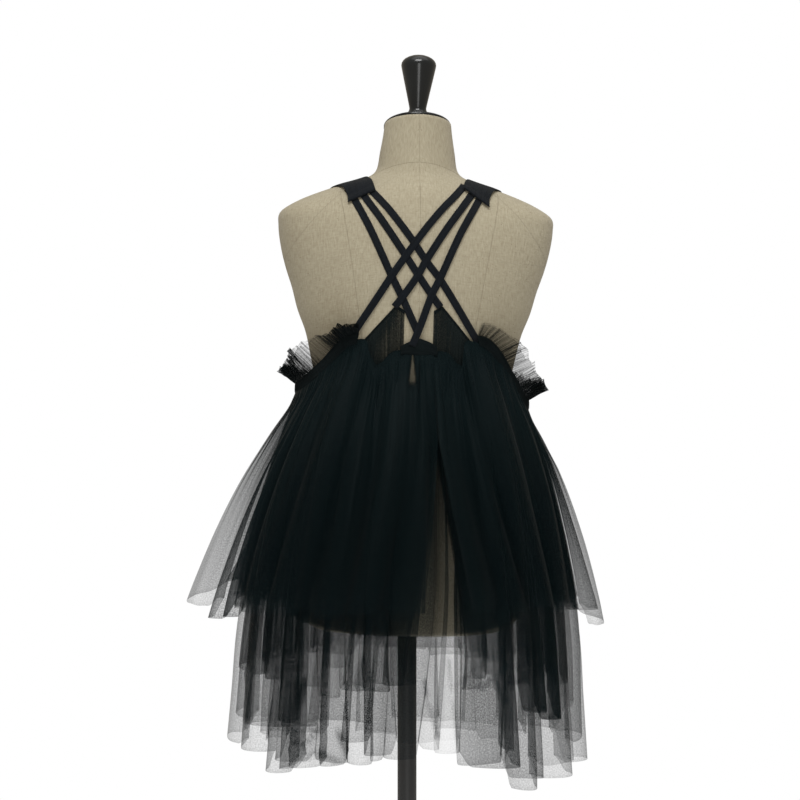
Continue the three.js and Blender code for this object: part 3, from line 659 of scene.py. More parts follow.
def ray_to_torso(x, angle):
    """Where a ray from the shoulder's pivot, at an angle from straight up, leaves the torso."""
    near, far = np.zeros_like(x), np.full_like(x, 120.0)
    for _ in range(36):
        middle = (near + far) / 2
        y = SHOULDER["pivot_y"] + middle * np.sin(angle)
        z = SHOULDER["pivot_z"] + middle * np.cos(angle)
        hit = (share(x, z) > 0) & (y > back_of_torso(x, z)) & (y < front_of_torso(x, z))
        near, far = np.where(hit, middle, near), np.where(hit, far, middle)
    return xyz(x, SHOULDER["pivot_y"] + near * np.sin(angle), SHOULDER["pivot_z"] + near * np.cos(angle))


def band_over_shoulder(side, name, a):
    """The part of a wide strap from its slanting back end to the chest, and the angles of its rows."""
    across = a * SHOULDER["width"] / 2
    inner_end, outer_end = np.array(STRAP_END[name])
    end_x, end_z = (inner_end + (outer_end - inner_end) * ((a + 1) / 2)[:, None]).T
    behind = back_of_torso(end_x, end_z) - SHOULDER["pivot_y"]
    first = np.degrees(np.arctan2(behind, end_z - SHOULDER["pivot_z"]))
    last = OVER_SHOULDER["angle"][-1]
    angles = first + (last - first) * np.linspace(0, 1, SHOULDER["rows_over"])[:, None]
    aside = end_x - read(OVER_SHOULDER, "angle", first, "x") - across
    aside = aside * smooth(ramp(angles - first, 60, 0))
    x = side * (read(OVER_SHOULDER, "angle", angles, "x") + across + aside)
    return ray_to_torso(x, np.radians(angles)), angles


def band_down_chest(side, a):
    """The part of a wide strap from the chest to the waist, hung straight below the bust."""
    drops = np.linspace(-SHOULDER["chest_z"], -SHOULDER["end_z"], SHOULDER["rows_down"])[:, None]
    x = side * (read(DOWN_CHEST, "drop", drops, "x") + a * SHOULDER["width"] / 2)
    z = 0 * x - drops
    behind = SHOULDER["behind_edge"] + SHOULDER["wall"] + SHOULDER["front_lift"]
    edge = ring_point(front_angle(x), -behind, z)[..., 1]
    share_down = (BUST["z"] - z) / (BUST["z"] - SHOULDER["end_z"])
    hung = between(front_of_torso(x, BUST["z"]), edge, share_down)
    on_body = front_of_torso(x, z)
    return xyz(x, np.where(z < BUST["z"], np.maximum(on_body, hung), on_body), z)


def shoulder_band(side, name):
    a, edges = rounded(SHOULDER["columns"])
    top, angles = band_over_shoulder(side, name, a)
    chest = band_down_chest(side, a)
    surface = np.concatenate([top, chest])
    lift = read(OVER_SHOULDER, "angle", angles, "lift")
    lift = np.concatenate([lift, np.full(chest.shape[:2], SHOULDER["front_lift"])])
    up = np.maximum(0, surface[..., 2] - SHOULDER["pivot_z"])
    away = unit(xyz(0.0, surface[..., 1] - SHOULDER["pivot_y"], up))
    along = lengths_along(surface, 0)[:, SHOULDER["columns"] // 2] / MM
    hem = SHOULDER["hem"]
    folded = ramp(along, hem, hem - 1.2)  # the end is folded under once and stitched
    stitch = 0.5 * bell(along - hem + 1.6, 0.5)
    wave = 0.35 * np.sin(along / 17.0)[:, None] * a
    thick = (SHOULDER["wall"] + 0.9 * folded - stitch)[:, None] * edges + np.maximum(0, wave)
    inner = surface + away * lift[..., None]
    outer = inner + away * thick[..., None]
    nodes = [f"shoulder_strap_{name}"]
    piece = wall_object(f"strap_over_{name}", outer, inner, strap_cloth, nodes)


def back_strap(name, rows):
    x, z = np.array(rows, float).T[:2]
    chord = np.concatenate([[0], np.cumsum(np.hypot(np.diff(x), np.diff(z)))])
    line = table(["at", "x", "z", "lift"], [[c, *row] for c, row in zip(chord, rows)])
    at = np.linspace(0, chord[-1], 110)
    x, z, lift = (read(line, "at", at, column)[:, None] for column in ("x", "z", "lift"))
    dx, dz = np.gradient(x, axis=0), np.gradient(z, axis=0)
    size = np.hypot(dx, dz)
    a, edges = rounded(9)
    gx = x + dz / size * a * STRAP_WIDTH / 2
    gz = z - dx / size * a * STRAP_WIDTH / 2
    inner = xyz(gx, back_of_torso(gx, gz), gz) + BACKWARD * lift[..., None]
    outer = inner + BACKWARD * (RIBBON * edges)[:, None]
    piece = wall_object(f"tape_{name}", outer, inner, strap_cloth, [f"back_strap_{name}"])


# Sheer panels of the back, their bindings and the tab between them
PANEL_EDGE = table(["x", "z"], [[19, 1184], [30, 1191], [76, 1139]])
PANEL_BOTTOM = 1098
PANEL_LOW = (1124, 1108)  # between these heights the panels grow dense towards the casing
# Share of each panel, from its inner edge, that is seen through, and the density there
PANEL_SHEER = {"left": (0.5, 2.1), "right": (0.3, 2.9)}


def panel_edge(x):
    return np.interp(x, PANEL_EDGE["x"], PANEL_EDGE["z"])


def back_panel(side, name):
    """Gathered net: two folds deep, fanned a little from the binding down."""
    sheer, density = PANEL_SHEER[name]
    c = np.linspace(0, 1, 150)
    r = np.linspace(0, 1, 44)[:, None]
    x = between(PANEL_EDGE["x"][0], PANEL_EDGE["x"][-1], c)
    top = panel_edge(x) - 2
    z = between(PANEL_BOTTOM, top, r)
    for layer, lift, phase, nodes in (("outer", 1.6, 0.0, [f"back_panel_{name}"]), ("inner", 0.8, 1.9, [])):
        fan = 2.5 * (1 - r) * np.sin(9 * c + phase)
        gx = side * (x + fan * 4 * c * (1 - c))
        ripple = np.sin(2 * math.pi * (16 * c + 0.35 * np.sin(7 * c + phase)) + phase)
        ripple = np.maximum(0.55 * ripple * (1 - 0.65 * r), -0.5)
        low = ramp(z, *PANEL_LOW)
        under = bell(top - z, 15) * ramp(c, 0.15, 0.3)
        deep = density + 2.9 * smooth(ramp(c, sheer, sheer + 0.3)) + 3.5 * under + 5.0 * low * low
        deep = deep * (1 + 0.18 * np.sin(2 * math.pi * (5.5 * c + 0.2 * phase)))
        grid = xyz(gx, back_of_torso(gx, z) - lift - ripple, z)
        values = {"gather": deep, "gathered": 1.0}
        piece = net_object(f"panel_net_{layer}_{name}", grid, net_panel, nodes, values)


def panel_binding(side, name):
    x = np.linspace(PANEL_EDGE["x"][0], PANEL_EDGE["x"][-1], 60)[:, None]
    a, edges = rounded(7)
    z = panel_edge(x) - 2.5 + a * 2.5
    gx = side * x
    pucker = 0.12 * np.sin(x * 2.1) + 0.08 * np.sin(x * 3.7 + 1)
    inner = xyz(gx, back_of_torso(gx, z), z) + BACKWARD * 0.6
    outer = inner + BACKWARD * ((1.25 + pucker) * edges)[..., None]
    piece = wall_object(f"binding_{name}", outer, inner, trim_cloth, [f"panel_binding_{name}"])


TAB = {"from": -6.2, "to": 6.8, "columns": 40, "side": 11, "peak": 22, "behind_edge": 1.2}


def centre_tab():
    across = np.linspace(-1, 1, TAB["columns"])[:, None]
    angles = np.radians(between(TAB["from"], TAB["to"], (across + 1) / 2))
    a, edges = rounded(9)
    z = top_z(angles) + (a + 1) / 2 * between(TAB["peak"], TAB["side"], np.abs(across))
    inner = ring_point(angles, -TAB["behind_edge"], z)
    away = (ring_point(angles, 0, z) - inner) / TAB["behind_edge"]
    outer = inner + away * (1.0 + 1.1 * edges)[:, None]
    piece = wall_object("tab_band", outer, inner, trim_cloth, ["centre_tab"])


# The elastic casing and its ruffle, round from the right of the back to the left
EDGE_FROM, EDGE_TO = math.radians(27.4), math.radians(332.6)
CASING = {"columns": 1100, "sides": 16, "middle": 5.4, "half_height": 7.0, "half_depth": 1.35}


def casing_tube():
    place = np.linspace(0, 1, CASING["columns"])
    at, out, up = (field[:, None] for field in edge_frames(between(EDGE_FROM, EDGE_TO, place)))
    profile = np.linspace(0, 2 * math.pi, CASING["sides"], endpoint=False)
    pleat = 0.5 * np.sin(2 * math.pi * 150 * place + 3 * np.sin(23 * place))
    pleat = (pleat + 0.3 * np.sin(2 * math.pi * 263 * place))[:, None] * (np.cos(profile) > -0.2)
    high = CASING["middle"] + CASING["half_height"] * signed_power(np.sin(profile), 0.6)
    deep = (CASING["half_depth"] + 0.45 * pleat) * signed_power(np.cos(profile), 0.8) - 0.1
    rings = at + up * high[:, None] + out * deep[..., None]
    nodes = ["casing_left", "casing_right", "casing_front"]
    piece = tube_object("elastic_casing", rings, trim_cloth, nodes)


RUFFLE = {"foot": 12.2, "width": 30, "pleats": 78, "rows": 14, "steps": 18}
# Each thickness: how far its pleats lag, their depth and length as shares, and what it stands for
RUFFLE_LAYERS = {
    "outer": (0.0, 1.0, 1.0, ["ruffle_left", "ruffle_right", "ruffle_front"]),
    "inner": (0.43, 0.8, 0.93, []),
}
# Round the ruffle: its height as a share, how far its pleats stand out, its density, and its lean in degrees
RUFFLE_LOOK = table(
    ["angle", "tall", "fold", "dense", "lean"],
    [
        [27, 0.80, 0.1, 0.6, 47], [35, 0.86, 0.2, 0.6, 47], [38, 1.0, 0.8, 0.85, 47], [50, 1.0, 1.0, 0.7, 47],
        [58, 1.0, 1.0, 1.6, 47], [67, 0.95, 1.1, 2.0, 50], [80, 1.0, 1.1, 1.0, 50], [100, 1, 1, 0.9, 47],
        [180, 1, 1, 1.1, 47], [262, 1.0, 1, 0.8, 47], [280, 1.1, 1, 1.1, 46], [293, 1.15, 1, 2.0, 40],
        [303, 1.2, 1, 1.5, 34], [311, 1.2, 1, 0.55, 31], [320, 1.2, 1, 0.6, 30], [324, 0.9, 1.1, 2.5, 45],
        [328, 0.8, 1.2, 4.5, 52], [333, 0.6, 1.0, 4.5, 55],
    ],
)


def ruffle_pleats(rng, place):
    """How far round each pleat a place is, and the seeded height, fold and tip of the pleats there."""
    turns = [rng.uniform(0.5, 1.6) for _ in range(RUFFLE["pleats"])]
    joints = np.cumsum([0.0] + turns)
    joints = joints / joints[-1]
    fields = [np.arange(len(joints))]
    for low, high in ((0.74, 1.13), (0.55, 1.35), (-1, 1)):
        fields.append([rng.uniform(low, high) for _ in joints])
    return [np.interp(place, joints, values) for values in fields]


def ruffle_sheets():
    """Two thicknesses of net in sharp uneven pleats. The left end is bunched and the right end is flat."""
    rng = random.Random(11)
    place = np.linspace(0, 1, RUFFLE["pleats"] * RUFFLE["steps"])
    angles = between(EDGE_FROM, EDGE_TO, place)
    at, out, up = edge_frames(angles)
    side = unit(np.cross(up, out))
    degrees = np.degrees(angles)
    look = {key: read(RUFFLE_LOOK, "angle", degrees, key) for key in ("tall", "fold", "dense", "lean")}
    s = np.linspace(0, 1, RUFFLE["rows"])[:, None]
    for layer, (lag, depth, length, nodes) in RUFFLE_LAYERS.items():
        phase, tall, fold, tip = ruffle_pleats(rng, place)
        phase = phase + lag
        saw = signed_power(1 - 4 * np.abs((phase % 1) - 0.5), 0.8)
        length = RUFFLE["width"] * length * (1 + (tall - 1) * np.minimum(look["fold"], 1)) * look["tall"]
        bend = np.radians(look["lean"]) + (0.16 * s - 0.05) * np.sin(phase * 0.9)
        rise, way_out = np.cos(bend)[..., None], np.sin(bend)[..., None]
        reach = (s * length)[..., None]
        pleat = 0.4 + (0.9 + 3.6 * s) * depth * fold * saw * look["fold"]
        grid = at + up * (RUFFLE["foot"] + reach * rise) + out * (reach * way_out)
        grid = grid + (out * rise - up * way_out) * pleat[..., None]
        grid = grid + side * (tip * 2.4 * s * look["fold"])[..., None]
        edge = 1 + 0.8 * (s > 0.97)
        values = {"gather": (2.4 - 1.3 * s) * look["dense"] * edge, "gathered": 1.0}
        piece = net_object(f"ruffle_net_{layer}", grid, net_ruffle, nodes, values)


# The skirt's layers of net
def form(rows):
    """Down a layer: how far it flares from the waist's ring, and how deep its folds are."""
    return table(["drop", "flare", "fold"], rows)


UPPER_FORM = form([
    [0, 0, 0.1], [22, 6.5, 1.3], [56, 24, 3.2], [121, 54, 7], [185, 78, 10], [250, 99, 12.5],
    [283, 108.5, 14], [340, 124, 15],
])
UPPER_INNER_FORM = form([
    [0, -1.2, 0.1], [22, 4, 1], [56, 16, 3], [121, 38, 6], [185, 56, 9], [250, 70, 12], [283, 76, 13],
    [340, 84, 14],
])
MIDDLE_FORM = form([
    [0, -2.6, 0.1], [22, 0.6, 0.6], [56, 8, 2], [121, 24, 5], [185, 38, 8], [250, 49, 10.5],
    [331, 58, 12], [440, 64, 14],
])
MIDDLE_INNER_FORM = form([
    [0, -3.4, 0.1], [22, -1, 0.6], [56, 4, 1.5], [121, 16, 3.6], [185, 26, 5.5], [250, 34, 7.5],
    [331, 40, 9], [440, 42, 10],
])
LONG_FORM = form([
    [0, -1.9, 0.1], [22, 2.2, 0.8], [56, 11.5, 2.5], [121, 30, 6], [185, 45, 9], [250, 56, 12],
    [331, 65, 14], [400, 68.5, 15.5], [530, 76, 18],
])
LONG_INNER_FORM = form([
    [0, -2.6, 0.1], [22, 1, 0.8], [56, 8.5, 2], [121, 25, 5], [185, 38, 8], [250, 49, 10.5],
    [331, 58, 12], [400, 62, 13], [530, 68, 15],
])
SLIT = {"angle": 5.2, "start": 108, "full": 320, "left": 4.4, "right": 7.6, "reach": 26}
# Flutes seen on the back: angles from and to, how far the crest stands out as a share, hem and density
UPPER_FLUTES = [
    [-121, -61, 1.0, 797, 0.72], [-61, -54, 0.7, 786, 1.6], [-54, -47.5, 0.8, 790, 2.3],
    [-47.5, -37, 1.1, 800, 1.2], [-37, -26, 0.9, 802, 1], [-26, -15, 1.1, 803, 1], [-15, -5, 0.8, 804, 1],
    [-5, 5.2, 0.6, 806, 1], [5.2, 16, 0.7, 806, 1], [16, 26, 1.0, 808, 1], [26, 39, 1.1, 811, 1],
    [39, 51, 0.9, 806, 1], [51, 66, 0.9, 800, 1], [66, 114, 1.2, 779, 0.9],
]
MIDDLE_FLUTES = [
    [-127, -104, 0.8, 704, 0.6], [-104, -78, 0.95, 706, 1.6], [-78, -60, 0.9, 709, 2.0],
    [-60, -48, 0.7, 706, 1.9], [-48, -39, 1.0, 655, 2.2], [-39, -30, 0.9, 652, 1.0],
    [-30, -21, 1.0, 690, 0.7], [-21, -12, 0.7, 700, 1.1], [-12, -3, 1.0, 700, 1.5],
    [-3, 5.2, 0.5, 708, 1.3], [5.2, 14, 0.6, 716, 1.1], [14, 25, 1.0, 720, 0.8], [25, 35, 0.9, 708, 0.9],
    [35, 46, 1.0, 670, 3.0], [46, 57, 1.1, 658, 3.8], [57, 75, 0.8, 700, 1.2], [75, 100, 0.95, 694, 1.0],
    [100, 124, 0.8, 706, 0.6],
]
LONG_FLUTES = [
    [-128, -102, 0.7, 610, 0.6], [-102, -72, 0.6, 610, 0.8], [-72, -51, 1.1, 614, 0.9],
    [-51, -40.5, 1.0, 592, 1], [-40.5, -36, 0.7, 598, 1.0], [-36, -27, 1.1, 602, 0.9],
    [-27, -19, 0.9, 607, 1], [-19, -11, 0.5, 609, 0.9], [-11, -7.2, 0.8, 615, 1], [-7.2, 0.8, 0.5, 617, 1],
    [0.8, 5, 0.25, 629, 0.5], [5, 12.5, 0.4, 624, 0.35], [12.5, 28.5, 1.1, 606, 1.85],
    [28.5, 31, 0.4, 626, 1], [31, 40.5, 1.3, 577, 1.15], [40.5, 62, 1.0, 586, 0.85],
    [62, 78, 0.9, 596, 0.9], [78, 104, 1.35, 612, 0.8], [104, 129, 0.8, 608, 0.6],
]
LONG_INNER_FLUTES = [
    [-124, -98, 0.8, 622, 0.4], [-98, -66, 1.0, 646, 0.9], [-66, -46, 0.9, 644, 1.0],
    [-46, -33, 1.0, 606, 0.9], [-33, -21, 0.8, 609, 1.0], [-21, -12, 1.1, 636, 0.9],
    [-12, -4, 0.9, 620, 1.2], [-4, 5.2, 0.5, 636, 0.3], [5.2, 13, 0.5, 640, 0.08],
    [13, 29, 1.0, 609, 1.25], [29, 42, 1.1, 588, 1.1], [42, 64, 0.9, 599, 0.5], [64, 102, 1.0, 664, 0.7],
    [102, 127, 0.8, 622, 0.4],
]
# Sharp creases of the long layer: angle and height of both ends, half width and how far they stand out
LONG_CREASES = [
    [-38.8, 636, -27.7, 657, 9, 6], [-38.8, 636, -33.1, 613, 8, 6], [-33.1, 613, -22, 623, 8, 6],
    [-27.4, 631, -19.4, 609, 8, 5], [-33.1, 613, -27.9, 655, 8, 5], [-21.4, 655, -17.9, 604, 8, 6],
    [-56.9, 718, -57.5, 646, 6, 3], [-44.2, 688, -48.7, 625, 7, 4], [-36.8, 715, -37.9, 660, 7, 3],
    [-24.4, 777, -26.4, 708, 6, 3], [-13.7, 747, -16.1, 701, 7, 3], [-11.7, 720, -16.1, 701, 7, 4],
    [15.8, 700, 26.4, 737, 7, 4], [21.6, 722, 23.2, 690, 6, 3], [23.2, 690, 26.4, 693, 6, 3],
    [8, 746, 8.7, 698, 5, 3], [8.7, 698, 11.4, 620, 5, 4], [1.9, 717, 2.8, 691, 5, 3],
    [2.8, 691, 5.6, 640, 6, 4], [8.6, 985, 10.5, 865, 8, 4], [10.5, 870, 11.5, 790, 7, 4],
    [-110, 700, -121, 640, 10, 6], [150, 690, 163, 650, 11, 6], [196, 720, 188, 640, 9, 6],
    [205, 655, 222, 630, 10, 7],
]
# hem, width and far: heights, widths in degrees and density of the seeded flutes. cloth: metres of net
# round the layer. open: how far the slit parts it. lean: how much more it flares on the left. swing: how far
# its folds wander aside, in degrees. painted_shade_over_form: added density over the torso, a painted shade
# that darkens the torso seen through the net. narrow: how much closer its sides hang.
OUTER = {"rows": 52, "row_power": 1.1, "steps": 28, "wings": 0, "creases": []}
INNER = {"rows": 44, "row_power": 1.1, "steps": 22, "wings": 0, "creases": [], "flutes": [], "replaces": []}
LAYERS = {
    "net_upper_outer": {
        **OUTER, "form": UPPER_FORM, "flutes": UPPER_FLUTES, "hem": (785, 815), "width": (10, 19),
        "far": 0.8, "cloth": 2.5, "open": 1, "lean": 0.18, "swing": 2.0, "painted_shade_over_form": 0, "narrow": 0,
        "seed": 3, "wings": 1,
        "replaces": ["upper_tier_back_right", "upper_tier_front", "upper_tier_back_left"],
    },
    "net_upper_inner": {
        **INNER, "form": UPPER_INNER_FORM, "hem": (790, 818), "width": (8, 16), "far": 1.0,
        "cloth": 2.3, "open": 1, "lean": 0.03, "swing": 3.0, "painted_shade_over_form": 0, "narrow": 7, "seed": 5,
    },
    "net_middle_outer": {
        **OUTER, "form": MIDDLE_FORM, "flutes": MIDDLE_FLUTES, "hem": (698, 716), "width": (9, 17),
        "far": 0.75, "cloth": 2.3, "open": 1.2, "lean": 0.04, "swing": 4.0, "painted_shade_over_form": 0.9, "narrow": 2,
        "seed": 7,
        "replaces": ["middle_tier_back_right", "middle_tier_front", "middle_tier_back_left"],
    },
    "net_middle_inner": {
        **INNER, "form": MIDDLE_INNER_FORM, "hem": (696, 724), "width": (8, 15), "far": 0.8,
        "cloth": 2.1, "open": 1.3, "lean": 0.02, "swing": 5.0, "painted_shade_over_form": 0.9, "narrow": 9, "seed": 9,
    },
    "net_long": {
        **OUTER, "form": LONG_FORM, "flutes": LONG_FLUTES, "hem": (578, 604), "width": (9, 18), "far": 0.62,
        "cloth": 2.3, "open": 0, "lean": 0, "swing": 5.0, "painted_shade_over_form": 1.1, "narrow": 0, "seed": 13,
        "rows": 84, "row_power": 0.85, "creases": LONG_CREASES,
        "replaces": ["long_tier_front", "long_tier_back"],
    },
    "net_long_inner": {
        **INNER, "form": LONG_INNER_FORM, "flutes": LONG_INNER_FLUTES, "hem": (584, 612), "width": (9, 18),
        "far": 0.45, "cloth": 2.2, "open": 0, "lean": 0, "swing": 6.0, "painted_shade_over_form": 1.1, "narrow": 2,
        "seed": 17,
    },
}
# Under the tab the gathers stand apart: the gap's middle, width, depth down the skirt and density
GAP = {"x": -7.3, "wide": 9, "deep": 44, "dark": 0.03}
SIDES_AT = 92  # degrees from the middle of the back
ABOVE_SEAM = 5.0  # how far a layer starts above the waist's edge


def flutes_round(look):
    """The layer's flutes once round, from the slit for an open layer: edges, crest, hem, density."""
    rng = random.Random(look["seed"])
    start = SLIT["angle"]
    rows = [row for row in look["flutes"] if row[0] >= start]
    ends = [[row[0] + 360, row[1] + 360, *row[2:]] for row in look["flutes"] if row[0] < start]
    at = rows[-1][1] if rows else start
    until = ends[0][0] if ends else start + 360
    while at < until - 1e-6:
        wide = rng.uniform(*look["width"])
        if until - at - wide < look["width"][0]:
            wide = until - at
        crest, hem = rng.uniform(0.5, 1.2), rng.uniform(*look["hem"])
        rows.append([at, at + wide, crest, hem, look["far"] * rng.uniform(0.8, 1.2)])
        at += wide
    return rows + ends


COLUMN = ("base", "place", "wide", "crest", "valley", "hump", "hem", "tilt", "dense", "drift")


def layer_columns(look, rng):
    """The columns of a layer once round, from the flutes that they are part of."""
    rows = flutes_round(look)
    count = len(rows)
    valleys = [rng.uniform(0.6, 1.3) for _ in rows]
    sag = [rng.uniform(6, 18) for _ in rows]
    tilt = [rng.uniform(-0.5, 0.5) for _ in rows]
    drift = [rng.uniform(-0.5, 0.5) * (row[1] - row[0]) for row in rows]
    columns = []
    for i, (start, end, crest, hem, dense) in enumerate(rows):
        j = (i + 1) % count
        hems = (hem + rows[i - 1][3]) / 2 + sag[i], (hem + rows[j][3]) / 2 + sag[j]
        densities = (dense + rows[i - 1][4]) / 2, (dense + rows[j][4]) / 2
        steps = max(10, round(look["steps"] * min(1.6, (end - start) / 10)))
        for t in np.arange(steps) / steps:
            hump = (1 - math.cos(2 * math.pi * t)) / 2
            level = smooth(min(1.0, 2.4 * hump))  # the hem is level across a flute and steps up beside it
            columns.append([
                start + (end - start) * t, t, end - start, crest, between(valleys[i], valleys[j], t), hump,
                between(between(*hems, t), hem, level), tilt[i],
                between(between(*densities, t), dense, hump), between(drift[i], drift[j], t),
            ])
    if look["open"]:
        columns.append([rows[-1][1], *columns[-1][1:]])
    return table(COLUMN, columns)


def slit_shift(look, around, drop):
    """How far the slit moves each point of an open layer aside."""
    opened = np.clip((drop - SLIT["start"]) / (SLIT["full"] - SLIT["start"]), 0, 1.3)
    after = around - math.radians(SLIT["angle"])
    right = after < math.pi
    fade = np.exp(-np.where(right, after, 2 * math.pi - after) / math.radians(SLIT["reach"]))
    turn = np.where(right, math.radians(SLIT["right"]), -math.radians(SLIT["left"]))
    return look["open"] * opened * fade * turn


def creases(rows, degrees, z):
    """Sharp folds along straight lines of a layer: how far they stand out, and their added density."""
    ridge, line = 0 * z, 0 * z
    arc = math.radians(1) * (RING["half_width"] + 70)
    for from_angle, from_z, to_angle, to_z, half, height in rows:
        ax, ay = (to_angle - from_angle) * arc, to_z - from_z
        px, py = (degrees - from_angle) * arc, z - from_z
        size = math.hypot(ax, ay)
        along = (px * ax + py * ay) / (size * size)
        aside = np.abs(px * ay - py * ax) / size
        ends = ramp(along, 0, 0.2) * ramp(along, 1, 0.8)
        level = abs(ax) / size
        ridge = ridge + height * ends * ramp(aside, half, 0) * (0.8 - 0.3 * level)
        line = line + (2.4 - 1.5 * level) * ends * bell(aside, 1.7 + 2.0 * level)
    return ridge, line


class NetLayer:
    """One layer of net, as fields over its rows, from the waist down, and its columns, once round."""

    def __init__(self, look):
        self.look = look
        self.rng = random.Random(look["seed"] + 100)
        self.column = layer_columns(look, self.rng)
        self.around = np.radians(self.column["base"])
        self.degrees = degrees_from_back(self.around)
        self.s = (np.linspace(0, 1, look["rows"]) ** look["row_power"])[:, None]
        top = top_z(self.around)
        self.drop = -ABOVE_SEAM + (top - self.column["hem"] + ABOVE_SEAM) * self.s
        self.below = np.maximum(self.drop, 0)
        off_side = np.abs(self.degrees) - SIDES_AT
        self.wing = look["wings"] * bell(off_side, 20)  # flat and light at the sides
        self.beside = bell(off_side, 24)
        z = top - self.drop
        angle = self.angles()
        self.ridge, self.line = creases(look["creases"], degrees_from_back(angle), z)
        self.points = ring_point(angle, self.stand_out(), z)
        self.points[..., 2] += 1.5 * self.s * self.s * self.sines(4, 14, 40, 400)

    def sines(self, count, low, high, tall):
        """A smooth uneven field from a few seeded waves round the skirt and down it."""
        total = 0 * self.drop
        for _ in range(count):
            turns, size = self.rng.randint(low, high), self.rng.uniform(0.5, 1)
            slant, phase = self.rng.uniform(-3, 3), self.rng.uniform(0, 2 * math.pi)
            total = total + size * np.sin(turns * self.around + self.drop / tall * slant + phase)
        return total / count

    def angles(self):
        """Where each point hangs round the skirt: the flutes bend over on themselves and wander."""
        look, column, s = self.look, self.column, self.s
        wide = column["wide"]
        loop = 0.205 * ramp(self.drop, 0, 430) * np.minimum(1, 16 / wide)
        turn = wide * (column["tilt"] * column["hump"] * s * s - loop * np.sin(2 * math.pi * column["place"]))
        turn = turn + np.minimum(column["drift"], 6) * (1 - s) ** 1.5
        turn = turn + 8 * s * (1 - s) * np.sin(5 * self.around + look["seed"])
        turn = np.radians(turn + look["swing"] * ramp(s, 1, 0.6) * self.sines(4, 6, 17, math.inf))
        if not look["open"]:
            return self.around + turn
        base = column["base"]
        closed = ramp(np.minimum(base - base[0], base[-1] - base), 0, 4)
        return self.around + turn * closed + slit_shift(look, self.around, self.drop)

    def stand_out(self):
        """How far each point stands out from the waist's ring, with its gathers, crumples and creases."""
        look, column, s, drop = self.look, self.column, self.s, self.drop
        base, seed = column["base"], look["seed"]
        fall = drop - right_drop(self.degrees) * ramp(drop, 0, 80)
        flare, fold = (read(look["form"], "drop", fall, key) for key in ("flare", "fold"))
        wave = between(-column["valley"], column["crest"], column["hump"])
        fold = fold * (1 - 0.4 * self.beside * (look["narrow"] > 0))
        fine = 2 * math.pi * 0.40 * base + 3.2 * np.sin(base * 0.31 + seed) + 2.3 * np.sin(base * 0.83)
        uneven = 0.55 + 0.45 * np.sin(base * 0.47 + seed) * np.sin(base * 1.31)
        gathers = 2.0 * uneven * np.sin(fine) * np.exp(-self.below / 85) * ramp(drop, 1, 15)
        pleats = 2.2 * np.sin(fine * 0.31 + 1.0) * np.exp(-self.below / 190) * ramp(drop, 1, 31)
        crumple = 2.6 * s * (1 - 0.85 * self.wing) * self.sines(7, 18, 60, 160)
        flare = flare - look["narrow"] * self.beside * ramp(drop, 0, 200)
        flare = flare * (1 - look["lean"] * np.sin(self.around))
        return flare + fold * wave + gathers + pleats + crumple + self.ridge

    def depth(self):
        """How many smooth layers of net the cloth stands for at each point."""
        look, s, drop = self.look, self.s, self.drop
        across = lengths_along(self.points, 1)[:, -1:]
        gather = np.clip(look["cloth"] / across, 1.0, 3.2)
        gather = gather * (1 + 2.5 * (1 - 0.9 * self.wing) * np.exp(-self.below / 80))
        gather = gather * (1 - 0.3 * self.beside * (look["narrow"] > 0)) * (1 - 0.55 * self.wing * (1 - s))
        clusters = 1 + 0.22 * self.sines(6, 9, 34, 700)
        dense = 1 + (self.column["dense"] - 1) * ramp(drop, 0, 160)
        hem_line = np.where(s < 1, 1.0, 1.35)
        x, y = self.points[..., 0], self.points[..., 1]
        down = ramp(drop, 0, GAP["deep"])
        apart = np.where(y > 0, math.inf, np.abs(x - GAP["x"]))
        gap = np.clip(1.5 - apart / (GAP["wide"] * (0.3 + 0.7 * down)), 0, 1)
        gap = gap * ramp(drop, GAP["deep"] + 6, GAP["deep"] - 6) * (1 - GAP["dark"] * down)
        return gather * clusters * dense * hem_line * (1 + self.line) * (1 - gap)


def net_layer(name, look):
    layer = NetLayer(look)
    values = {
        "gather": layer.depth(),
        "gathered": (0.14 + 0.86 * bell(layer.drop, 190)) * (1 - 0.75 * layer.wing),
        # painted shade: extra net over the torso, growing from 120 to 220 mm below the waist, darkens the
        # torso behind
        "painted_shade_over_form": look["painted_shade_over_form"] * ramp(layer.drop, 120, 220),
    }
    piece = net_object(name, layer.points, net_upper, look["replaces"], values, wrap=not look["open"])


# Light, floor and camera
def world_light():
    world = bpy.data.worlds.new("studio")
    bpy.context.scene.world = world
    world.use_nodes = True
    n = Nodes(world.node_tree)
    background = n.add("ShaderNodeBackground")
    camera_ray = n.add("ShaderNodeLightPath").outputs["Is Camera Ray"]
    n.link(n.spread(camera_ray, 0, 1, 0.40, 1.0), background.inputs["Strength"])
    n.link(n.blend(camera_ray, (1, 0.90, 0.75, 1), (1, 1, 1, 1)), background.inputs["Color"])
    n.finish(background.outputs[0], "ShaderNodeOutputWorld")


# Each light: its place, the point that it faces, its size and its power
LIGHTS = {
    "key": ((-0.15, -1.35, 3.2), (0, 0, 1.15), (1.2, 0.9), 33),
    "fill": ((-0.05, -2.7, 1.0), (0, 0, 1.15), (0.7, 1.5), 9.5),
    "top": ((0.2, -0.2, 3.2), (0, 0, 1.2), (2.0, 2.0), 10),
}


def area_light(name, place, target, size, power):
    data = bpy.data.lights.new(name, "AREA")
    data.shape = "RECTANGLE"
    data.size, data.size_y = size
    data.energy = power
    light = bpy.data.objects.new(name, data)
    bpy.context.scene.collection.objects.link(light)
    way = unit(np.array(target) - np.array(place))
    light.location = place
    light.rotation_euler = (math.acos(-way[2]), 0, math.atan2(way[1], way[0]) - math.pi / 2)


FLOOR = {"radius": 2.0, "sides": 96, "under": 0.0005, "fade": (0.22, 0.85), "tint": (1.13, 1.19, 1.31)}


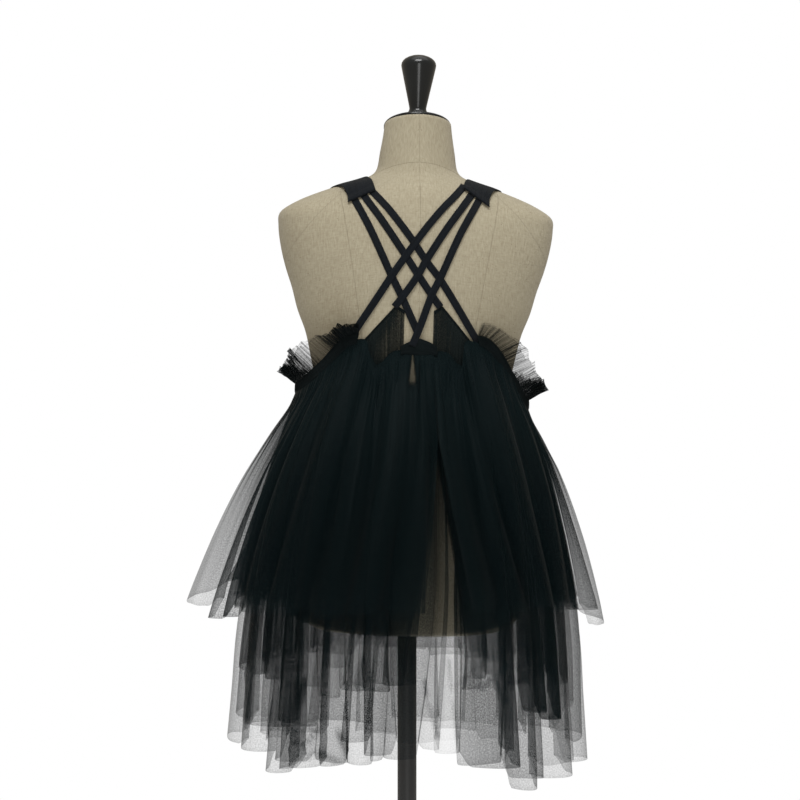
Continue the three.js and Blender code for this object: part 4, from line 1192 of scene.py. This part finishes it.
def floor_disc():
    """A white floor that fades into the white all round."""
    material, n = new_material("studio_floor")
    where = n.place()
    length = n.add("ShaderNodeVectorMath", operation="LENGTH")
    n.link(where, length.inputs[0])
    grain = n.spread(n.noise(where, (60, 60, 60)), 0.3, 0.7, 0.62, 0.68)
    color = n.add("ShaderNodeCombineColor")
    for socket, share_of_light in zip(color.inputs[:3], FLOOR["tint"]):
        n.link(n.times(grain, share_of_light), socket)
    mix = n.add("ShaderNodeMixShader")
    n.link(n.spread(length.outputs["Value"], *FLOOR["fade"]), mix.inputs[0])
    n.link(n.principled(color.outputs[0], 0.8), mix.inputs[1])
    n.link(n.add("ShaderNodeEmission").outputs[0], mix.inputs[2])
    n.finish(mix.outputs[0])
    angles = np.linspace(0, 2 * math.pi, FLOOR["sides"], endpoint=False)
    rim = xyz(FLOOR["radius"] * np.cos(angles), FLOOR["radius"] * np.sin(angles), -FLOOR["under"])
    mesh = bpy.data.meshes.new("floor")
    mesh.from_pydata(rim.tolist(), [], [tuple(range(FLOOR["sides"]))])
    mesh.materials.append(material)
    floor = bpy.data.objects.new("floor", mesh)
    bpy.context.scene.collection.objects.link(floor)


CAMERA = {"distance": 2.5, "height": 1.068, "azimuth": 4.0, "pan": 0.2166, "lens": 83.34}


def camera():
    data = bpy.data.cameras.new("camera")
    data.lens = CAMERA["lens"]
    data.sensor_width = 36
    data.clip_end = 50
    view = bpy.data.objects.new("camera", data)
    bpy.context.scene.collection.objects.link(view)
    a = math.radians(CAMERA["azimuth"])
    view.location = (-CAMERA["distance"] * math.sin(a), -CAMERA["distance"] * math.cos(a), CAMERA["height"])
    view.rotation_euler = (math.pi / 2, 0, math.radians(CAMERA["pan"] - CAMERA["azimuth"]))
    bpy.context.scene.camera = view


torso_piece()
stand_pieces()
for side, name in ((-1, "left"), (1, "right")):
    shoulder_band(side, name)
    back_panel(side, name)
    panel_binding(side, name)
for name, rows in BACK_STRAPS.items():
    back_strap(name, rows)
centre_tab()
casing_tube()
ruffle_sheets()
for name, look in LAYERS.items():
    net_layer(name, look)
world_light()
floor_disc()
for name, light in LIGHTS.items():
    area_light(name, *light)
camera()

scene = bpy.context.scene
scene.view_settings.view_transform = "Standard"
scene.cycles.transparent_max_bounces = 64
scene.cycles.max_bounces = 6
scene.cycles.diffuse_bounces = 3
scene.cycles.use_denoising = True
